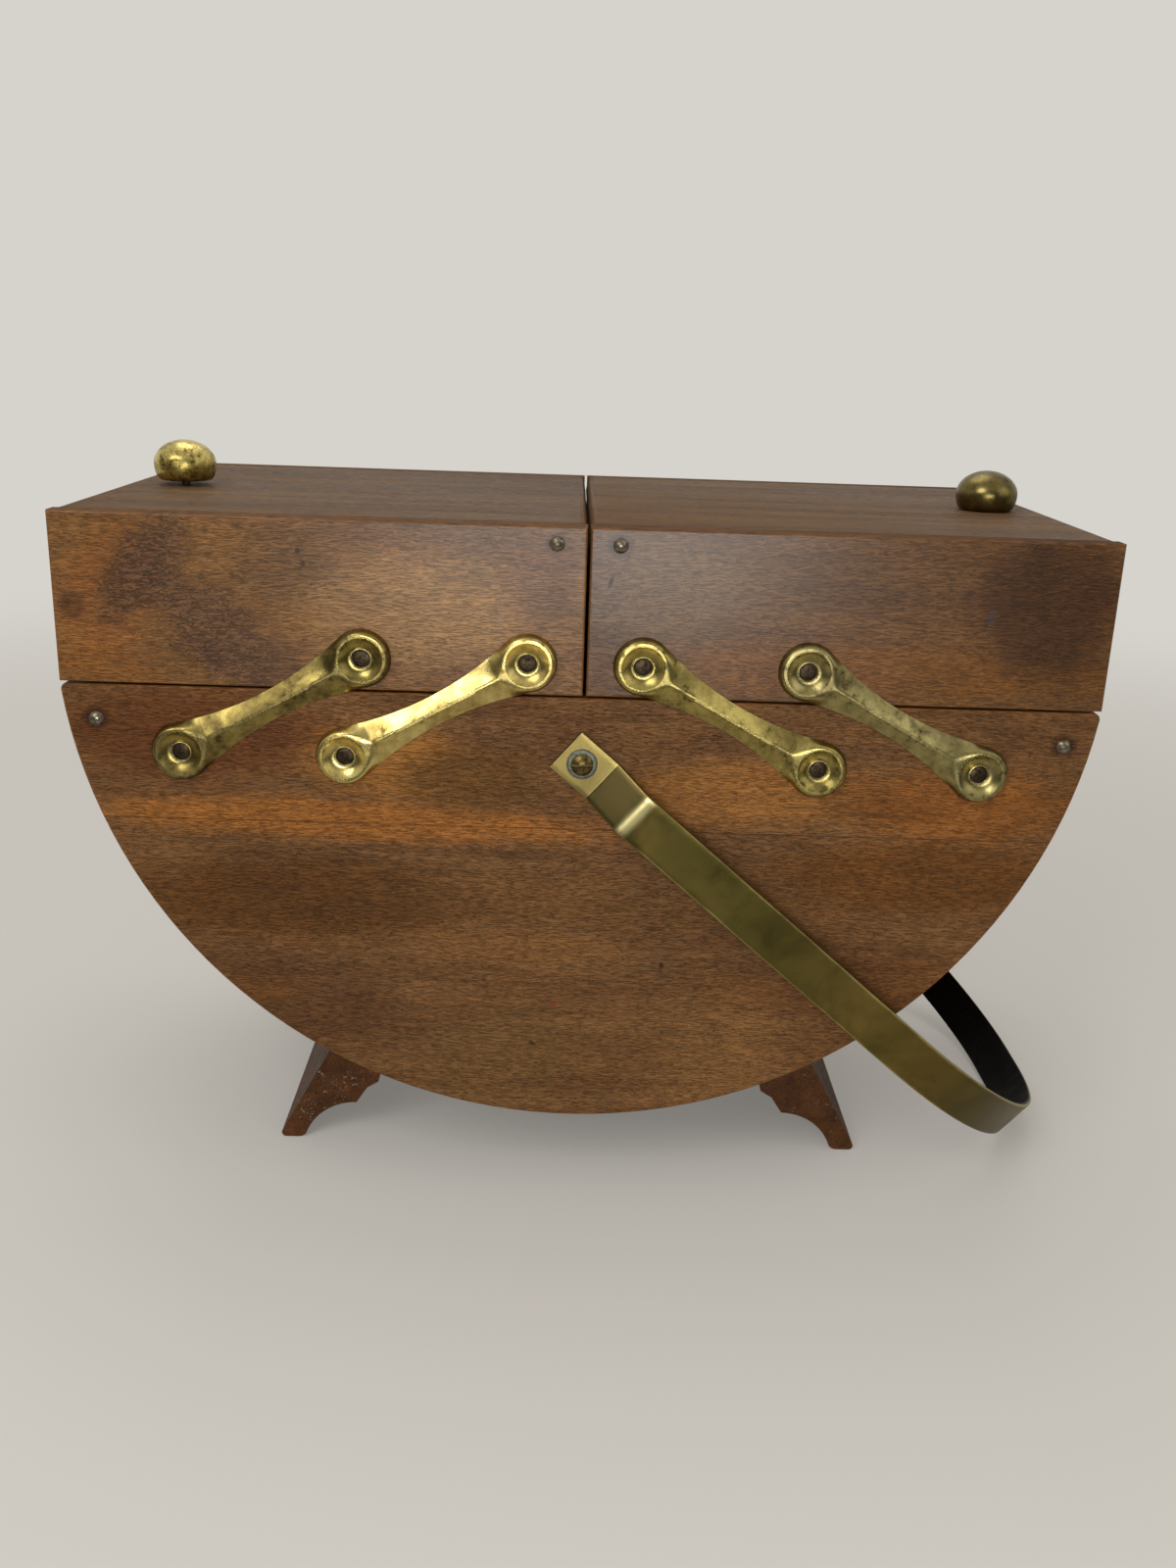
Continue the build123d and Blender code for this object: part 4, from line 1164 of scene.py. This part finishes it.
def measure_strap(strap, path, along, centre, forward, upward):
    """Store on each vertex how far along and across the strap it lies."""
    spots = np.array([(p.x, p.y) for p in path])
    values = []
    for vertex in strap.data.vertices:
        off = vertex.co - centre
        flat = np.array((off.dot(forward), off.y))
        nearest = int(np.argmin(((spots - flat) ** 2).sum(1)))
        tangent = spots[min(nearest + 1, len(spots) - 1)] - spots[max(nearest - 1, 0)]
        outward = np.array((tangent[1], -tangent[0]))
        inside = (flat - spots[nearest]) @ outward < 0
        values.append((along[nearest], off.dot(upward), float(inside)))
    for name, column in zip(STRAP_MARKS, zip(*values)):
        strap.data.attributes.new(name, "FLOAT", "POINT").data.foreach_set("value", column)


def strap_brass(look, total):
    """Brass strip with an olive film: rubbed bright on the tab, at the shoulder bend and
    along its edges, and painted nearly black on its inner side as shade."""
    material, tree, place = new_material("olive tarnished brass strip")
    run, across, inside = [add(tree, ATTRIBUTE, attribute_name=name).outputs["Fac"]
                           for name in STRAP_MARKS]
    near = add(tree, MATH, (run, total / 2), operation="SUBTRACT")
    near = add(tree, MATH, (near,), operation="ABSOLUTE")
    from_end = add(tree, MATH, (total / 2, near), operation="SUBTRACT")
    film, grit = [
        add(tree, NOISE, {"Vector": place, "Scale": 1 / (size * MM), "Detail": detail,
                          "Roughness": rough, "Distortion": warp})
        for size, detail, rough, warp in ((24, 5.0, 0.62, 0.5), (1.1, 4.0, 0.7, 0.0))]
    clouds = add(tree, RANGE, (film, 0.35, 0.65))
    layers = [(clouds, srgb("6C5A2E"))]

    # bands along the strap: where each starts, is full, ends being full and ends
    crease = look.overhang + look.crease
    shoulder = crease + math.hypot(look.ramp, RAMP_RISE)
    bands = (
        (-1, -0.5, crease - 0.3 * MM, crease + 0.2 * MM, 0.9, "978650"),
        (crease - 0.5 * MM, crease, crease + 0.3 * MM, crease + 0.8 * MM, 0.8, "3A3018"),
        (crease + 0.2 * MM, crease + MM, shoulder - 3 * MM, shoulder, 0.85, "5C5030"),
        (shoulder - 2.5 * MM, shoulder, shoulder + 1.5 * MM, shoulder + 5 * MM, 0.75,
         "B5AA78"),
        (shoulder + 4 * MM, shoulder + 24 * MM, shoulder + 60 * MM, shoulder + 130 * MM, 0.7,
         "514A24"),
    )
    for start, full, fade, end, strength, code in bands:
        rising = add(tree, RANGE, (from_end, start, full), **SMOOTH)
        falling = add(tree, RANGE, (from_end, fade, end, strength, 0.0), **SMOOTH)
        mask = add(tree, MATH, (rising, falling), operation="MULTIPLY")
        layers.append((mask, srgb(code)))

    off = add(tree, MATH, (across,), operation="ABSOLUTE")
    ragged = add(tree, MATH, (film, 1.6 * MM, off), operation="MULTIPLY_ADD")
    half = look.width / 2
    edge = add(tree, RANGE, (ragged, half - 0.1 * MM, half + 0.7 * MM, 0.0, 0.75))
    specks = add(tree, RANGE, (grit, 0.63, 0.7, 0.0, 0.6), **SMOOTH)
    # the strap's inner side is painted nearly black as shade, flecked with lighter specks
    bright_specks = add(tree, RANGE, (grit, 0.3, 0.36, 0.6, 0.0))
    shaded_inside = layered(tree, srgb("100C08"), (bright_specks, srgb("6A5C38")))
    layers += [(edge, srgb("A89A5C")), (specks, srgb("3C3218")), (inside, shaded_inside)]
    gloss = add(tree, RANGE, (film, 0.35, 0.65, 0.3, 0.48))
    gloss = add(tree, MATH, (inside, 0.2, gloss), operation="MULTIPLY_ADD")
    close_material(tree, grit, 0.2, 0.12 * MM, {
        "Base Color": layered(tree, srgb("564C26"), *layers), "Roughness": gloss,
        "Metallic": 1.0})
    return material


def make_handle_fasteners():
    """Washer and slotted screw on each tab of the handle."""
    screw_low, screw_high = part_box("handle_screws")
    washer_low, washer_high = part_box("handle_washers")
    head = (screw_high.z - screw_low.z) / 2
    outer = (washer_high.z - washer_low.z) / 2
    top, seat = FRONT - screw_low.y, FRONT - washer_low.y
    shank, core, thread, thick = 2.5 * MM, 2 * MM, 6 * MM, 1.0 * MM
    profile = dome(head, top - seat - 0.5 * MM, top, 14)
    profile += [(head, seat + 0.1 * MM), (head - 0.15 * MM, seat), (shank, seat),
                (shank, 0), (core, 0), (core, -thread), (0, -thread - MM)]
    screw = mesh_object("screw", *lathe(profile), sharp=50)
    slot = slot_cutter(4 * head, 1.0 * MM, top - 1.7 * MM, top + MM)
    screw = cut_slots(screw, [slot], "slotted_screw")
    ring = [(shank, seat - thick), (outer - 0.2 * MM, seat - thick), (outer, seat - thick * 0.8),
            (outer, seat - 0.25 * MM), (outer - 0.25 * MM, seat), (head + 0.3 * MM, seat),
            (shank + 0.2 * MM, seat), (shank, seat - 0.2 * MM), (shank, seat - thick)]
    washer = mesh_object("washer", *lathe(ring), sharp=50)
    centre = pivot("handle_turn")
    places = [(centre.x, centre.z, face) for face in FACES]
    zinc = dark_steel("grey zinc washer", "6F7468", "565A4C", roughness=0.5)
    dark = dark_steel("dark brass screw head", "6B5A32", "2E2514", roughness=0.32)
    set_out("handle_washer_pair", washer, places,
            (zinc, "base", "washer_steel", "handle_washers"), sharp=50)
    set_out("handle_screw_pair", screw, places,
            (dark, "base", "screw_steel", "handle_screws"), turn=math.radians(4), seed=3)
    for pattern in (screw, washer):
        bpy.data.objects.remove(pattern)


# Knobs

# The small upright edge of the foot, and the size of the dents
KNOB_EDGE, KNOB_DENT = 0.15 * MM, 0.005
# Steps of the profile up to the widest line, and from there to the top
UNDER_STEPS, OVER_STEPS = 14, 21


def make_knobs():
    """Turned brass knobs, each with its own dents, over a dark screw."""
    look = bpy.context.scene.box_knobs
    finishes = {
        "left": aged_brass("scratched antique brass", "DCC97C", "8F7C3E", "2A2008",
                           speckle=0.7, roughness=0.28, grain_mm=2.4),
        "right": aged_brass("smooth antique brass", "7A6C40", "5A4E2C", "3A2E12",
                            speckle=0.1, roughness=0.3, grain_mm=3.5),
    }
    steel = dark_steel("dark knob screw", "4A4234", "2A2018")
    for seed, side in enumerate(SIDES):
        low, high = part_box(f"{side}_knob")
        radius, tall = (high.x - low.x) / 2, high.z - low.z
        belly = tall * look.belly_share
        foot = radius * look.foot_share
        profile = [(0, 0), (foot * 0.5, 0), (foot - 0.4 * MM, 0.0), (foot, KNOB_EDGE)]
        for k in range(1, UNDER_STEPS + 1):
            angle = math.pi / 2 * k / UNDER_STEPS
            profile.append((foot + (radius - foot) * math.sin(angle),
                            belly - (belly - KNOB_EDGE) * math.cos(angle)))
        for k in range(1, OVER_STEPS + 1):
            angle = math.pi / 2 * k / OVER_STEPS
            profile.append((radius * math.cos(angle) if k < OVER_STEPS else 0.0,
                            belly + (tall - belly) * math.sin(angle)))
        vertices, faces = lathe(profile, 72)
        centre = Vector(((low.x + high.x) / 2, (low.y + high.y) / 2, low.z))
        dented = []
        for vertex in vertices:
            # the left knob is the more dented
            point = Vector(vertex)
            rough = noise.noise(point / KNOB_DENT + Vector((seed * 9, 0, 0)))
            scale = 1 - (look.dents * (1.5 - seed) * max(rough, 0.0)) / radius
            dented.append(centre + Vector((point.x * scale, point.y * scale, point.z)))
        knob = mesh_object(f"turned_knob_{side}", dented, faces, sharp=60)
        finish_piece(knob, f"{side}_lid", finishes[side], [f"{side}_knob"])
        dress([f"{side}_knob_screw"], steel)
    dress(["foot_screws"], steel)


# Stage

CAMERA_PLACE = Vector((BOX_CENTRE - 7.3 * MM, -618.6 * MM, 349.6 * MM))
SENSOR = 36.0
FLOOR_REACH = 6.0
# Where the floor fades into the backdrop, and where its mirror image falls away in front
FADE_START, FADE_END = 0.55, 1.5
SHADE_START, SHADE_END = -0.22, -0.5
# Light of the room on the box, of the dim room that it mirrors, and of the shaded floor
ROOM_LIGHT, MIRRORED_LIGHT, SHADED_LIGHT = 0.78, 0.15, 0.13
# Name, place, size in metres and power in watts
LAMPS = (
    ("key lamp", (-0.75, -1.2, 1.2), 0.8, 10.0),
    ("fill lamp", (1.4, -0.9, 0.9), 1.2, 3.0),
    ("top lamp", (-0.1, 0.5, 1.5), 1.0, 5.0),
    ("front lamp", (0.0, -1.5, 0.17), 0.6, 11.0),
)


def make_stage():
    """Pale floor that fades into the backdrop, soft studio lamps and the camera."""
    look = bpy.context.scene.box_stage
    bpy.context.scene.view_settings.view_transform = "Standard"
    corners = [(x * FLOOR_REACH, y * FLOOR_REACH, 0)
               for x, y in ((-1, -1), (1, -1), (1, 1), (-1, 1))]
    floor = mesh_object("pale_floor", corners, [(0, 1, 2, 3)])
    floor.data.materials.append(floor_finish(look))
    light_world(look)
    for settings in LAMPS:
        lamp(*settings)
    place_camera(look)


def floor_finish(look):
    """Matt pale cloth-like floor; far off it is the backdrop's own colour to the eye, and near
    the box it glows a little in that colour too, painted light that lifts its shadows.
    In reflections it falls away into the dim side of the room."""
    material, tree, place = new_material("matt pale floor")
    path = add(tree, "ShaderNodeLightPath").outputs
    far = add(tree, VECTOR, (place,), operation="LENGTH")
    seen = add(tree, MATH, (path["Is Camera Ray"], path["Is Transmission Ray"]),
               operation="MAXIMUM")
    # to the eye even the near floor glows at 0.22 of the backdrop's light: painted light that
    # lifts the box's shadow
    fade = add(tree, RANGE, (far, FADE_START, FADE_END, 0.22), **SMOOTH)
    fade = add(tree, MATH, (fade, seen), operation="MULTIPLY")
    ahead = add(tree, SPLIT, (place,)).outputs["Y"]
    dim = add(tree, RANGE, (ahead, SHADE_START, SHADE_END), **SMOOTH)
    dim = add(tree, MATH, (dim, path["Is Glossy Ray"]), operation="MULTIPLY")
    cloth = add(tree, "ShaderNodeBsdfPrincipled", {
        "Base Color": look.floor, "Roughness": 0.9, "Specular IOR Level": 0.1})
    glow, shade = [add(tree, "ShaderNodeEmission", {"Color": look.backdrop, "Strength": power})
                   for power in (1.0, SHADED_LIGHT)]
    mixed = add(tree, "ShaderNodeMixShader", (fade, cloth, glow))
    mixed = add(tree, "ShaderNodeMixShader", (dim, mixed, shade))
    add(tree, "ShaderNodeOutputMaterial", (mixed,))
    return material


def light_world(look):
    """The backdrop's colour for the eye, the same behind the box in reflections but a dim
    room in front of it, and a softer light for the rest."""
    world = bpy.data.worlds.new("studio")
    world.use_nodes = True
    bpy.context.scene.world = world
    tree = world.node_tree
    tree.nodes.clear()
    path = add(tree, "ShaderNodeLightPath").outputs
    way = add(tree, "ShaderNodeTexCoord").outputs["Object"]
    _, ahead, up = add(tree, SPLIT, (way,)).outputs
    upward = add(tree, MATH, (up, 1.1, ahead), operation="MULTIPLY_ADD")
    room = add(tree, RANGE, (upward, -0.55, 0.25, MIRRORED_LIGHT, 1.0), **SMOOTH)
    seen = add(tree, MATH, (path["Is Camera Ray"], path["Is Transmission Ray"]),
               operation="MAXIMUM")
    strength = add(tree, MIX, (path["Is Glossy Ray"], ROOM_LIGHT, room))
    strength = add(tree, MIX, (seen, strength, 1.0))
    light = add(tree, "ShaderNodeBackground", {"Color": look.backdrop, "Strength": strength})
    add(tree, "ShaderNodeOutputWorld", {"Surface": light})


def lamp(name, place, size, power):
    """Square area lamp that looks at the middle of the box."""
    data = bpy.data.lights.new(name, "AREA")
    data.size = size
    data.energy = power
    made = new_object(name, data)
    made.location = place
    aim = Vector((BOX_CENTRE, 0, RIM / 2)) - Vector(place)
    made.rotation_euler = aim.to_track_quat("-Z", "Y").to_euler()
    made.visible_camera = False


def place_camera(look):
    """Camera a little above the lids, looking down at the front."""
    data = bpy.data.cameras.new("camera")
    data.sensor_width = SENSOR
    data.lens = look.lens
    made = new_object("camera", data)
    forward = Vector((-math.sin(look.yaw) * math.cos(look.pitch),
                      math.cos(look.yaw) * math.cos(look.pitch), -math.sin(look.pitch)))
    level = Vector((math.cos(look.yaw), math.sin(look.yaw), 0))
    up = level.cross(forward)
    right = math.cos(look.roll) * level + math.sin(look.roll) * up
    over = -math.sin(look.roll) * level + math.cos(look.roll) * up
    made.matrix_world = axes_matrix(right, over, -forward, CAMERA_PLACE)
    bpy.context.scene.camera = made


# Operators and panel

class BOX_OT_wood(bpy.types.Operator):
    """Give the boards, skin and feet their stained and varnished finish"""
    bl_idname = "sewing_box.wood"
    bl_label = "Finish Wood"

    def execute(self, context):
        dress_wood()
        return {"FINISHED"}


class BOX_OT_lids(bpy.types.Operator):
    """Make the two lid boards"""
    bl_idname = "sewing_box.lids"
    bl_label = "Make Lids"

    def execute(self, context):
        make_lids()
        return {"FINISHED"}


class BOX_OT_arms(bpy.types.Operator):
    """Press the eight brass arms"""
    bl_idname = "sewing_box.arms"
    bl_label = "Make Arms"

    def execute(self, context):
        make_arms()
        return {"FINISHED"}


class BOX_OT_arm_fasteners(bpy.types.Operator):
    """Set out the bushes and cross screws of the arms"""
    bl_idname = "sewing_box.arm_fasteners"
    bl_label = "Make Arm Fasteners"

    def execute(self, context):
        make_arm_fasteners()
        return {"FINISHED"}


class BOX_OT_nails(bpy.types.Operator):
    """Set out the domed nails and the lids' pins"""
    bl_idname = "sewing_box.nails"
    bl_label = "Make Nails"

    def execute(self, context):
        make_nails()
        return {"FINISHED"}


class BOX_OT_handle(bpy.types.Operator):
    """Bend the strap handle"""
    bl_idname = "sewing_box.handle"
    bl_label = "Make Handle"

    def execute(self, context):
        make_handle()
        return {"FINISHED"}


class BOX_OT_handle_fasteners(bpy.types.Operator):
    """Make the handle's washers and slotted screws"""
    bl_idname = "sewing_box.handle_fasteners"
    bl_label = "Make Handle Fasteners"

    def execute(self, context):
        make_handle_fasteners()
        return {"FINISHED"}


class BOX_OT_knobs(bpy.types.Operator):
    """Turn the two knobs"""
    bl_idname = "sewing_box.knobs"
    bl_label = "Make Knobs"

    def execute(self, context):
        make_knobs()
        return {"FINISHED"}


class BOX_OT_stage(bpy.types.Operator):
    """Lay the floor and set the lamps and the camera"""
    bl_idname = "sewing_box.stage"
    bl_label = "Set Stage"

    def execute(self, context):
        make_stage()
        return {"FINISHED"}


class BOX_PT_sidebar(bpy.types.Panel):
    """The steps in order, with their settings"""
    bl_label = "Sewing Box"
    bl_idname = "BOX_PT_sidebar"
    bl_space_type = "VIEW_3D"
    bl_region_type = "UI"
    bl_category = "Sewing Box"

    def draw(self, context):
        for settings, operators in STEPS:
            box = self.layout.box()
            group = getattr(context.scene, settings)
            for name in group.__annotations__:
                box.prop(group, name)
            for operator in operators:
                box.operator(operator.bl_idname)


# Each group of settings with the steps that use it
STEPS = (
    ("box_stage", (BOX_OT_stage,)),
    ("box_wood", (BOX_OT_wood, BOX_OT_lids)),
    ("box_arms", (BOX_OT_arms,)),
    ("box_fasteners", (BOX_OT_arm_fasteners, BOX_OT_nails)),
    ("box_handle", (BOX_OT_handle, BOX_OT_handle_fasteners)),
    ("box_knobs", (BOX_OT_knobs,)),
)
GROUPS = {
    "box_stage": StageSettings,
    "box_wood": WoodSettings,
    "box_arms": ArmSettings,
    "box_fasteners": FastenerSettings,
    "box_handle": HandleSettings,
    "box_knobs": KnobSettings,
}


def register():
    """Register the settings, the steps and the panel."""
    for name, group in GROUPS.items():
        bpy.utils.register_class(group)
        setattr(bpy.types.Scene, name, PointerProperty(type=group))
    for _, operators in STEPS:
        for operator in operators:
            bpy.utils.register_class(operator)
    bpy.utils.register_class(BOX_PT_sidebar)


def unregister():
    """Undo register, last class first."""
    bpy.utils.unregister_class(BOX_PT_sidebar)
    for _, operators in reversed(STEPS):
        for operator in reversed(operators):
            bpy.utils.unregister_class(operator)
    for name, group in reversed(GROUPS.items()):
        delattr(bpy.types.Scene, name)
        bpy.utils.unregister_class(group)


def main():
    """Run every step."""
    register()
    for _, operators in STEPS:
        for operator in operators:
            step = operator.bl_idname.split(".")[1]
            getattr(bpy.ops.sewing_box, step)()


if __name__ == "__main__":
    main()
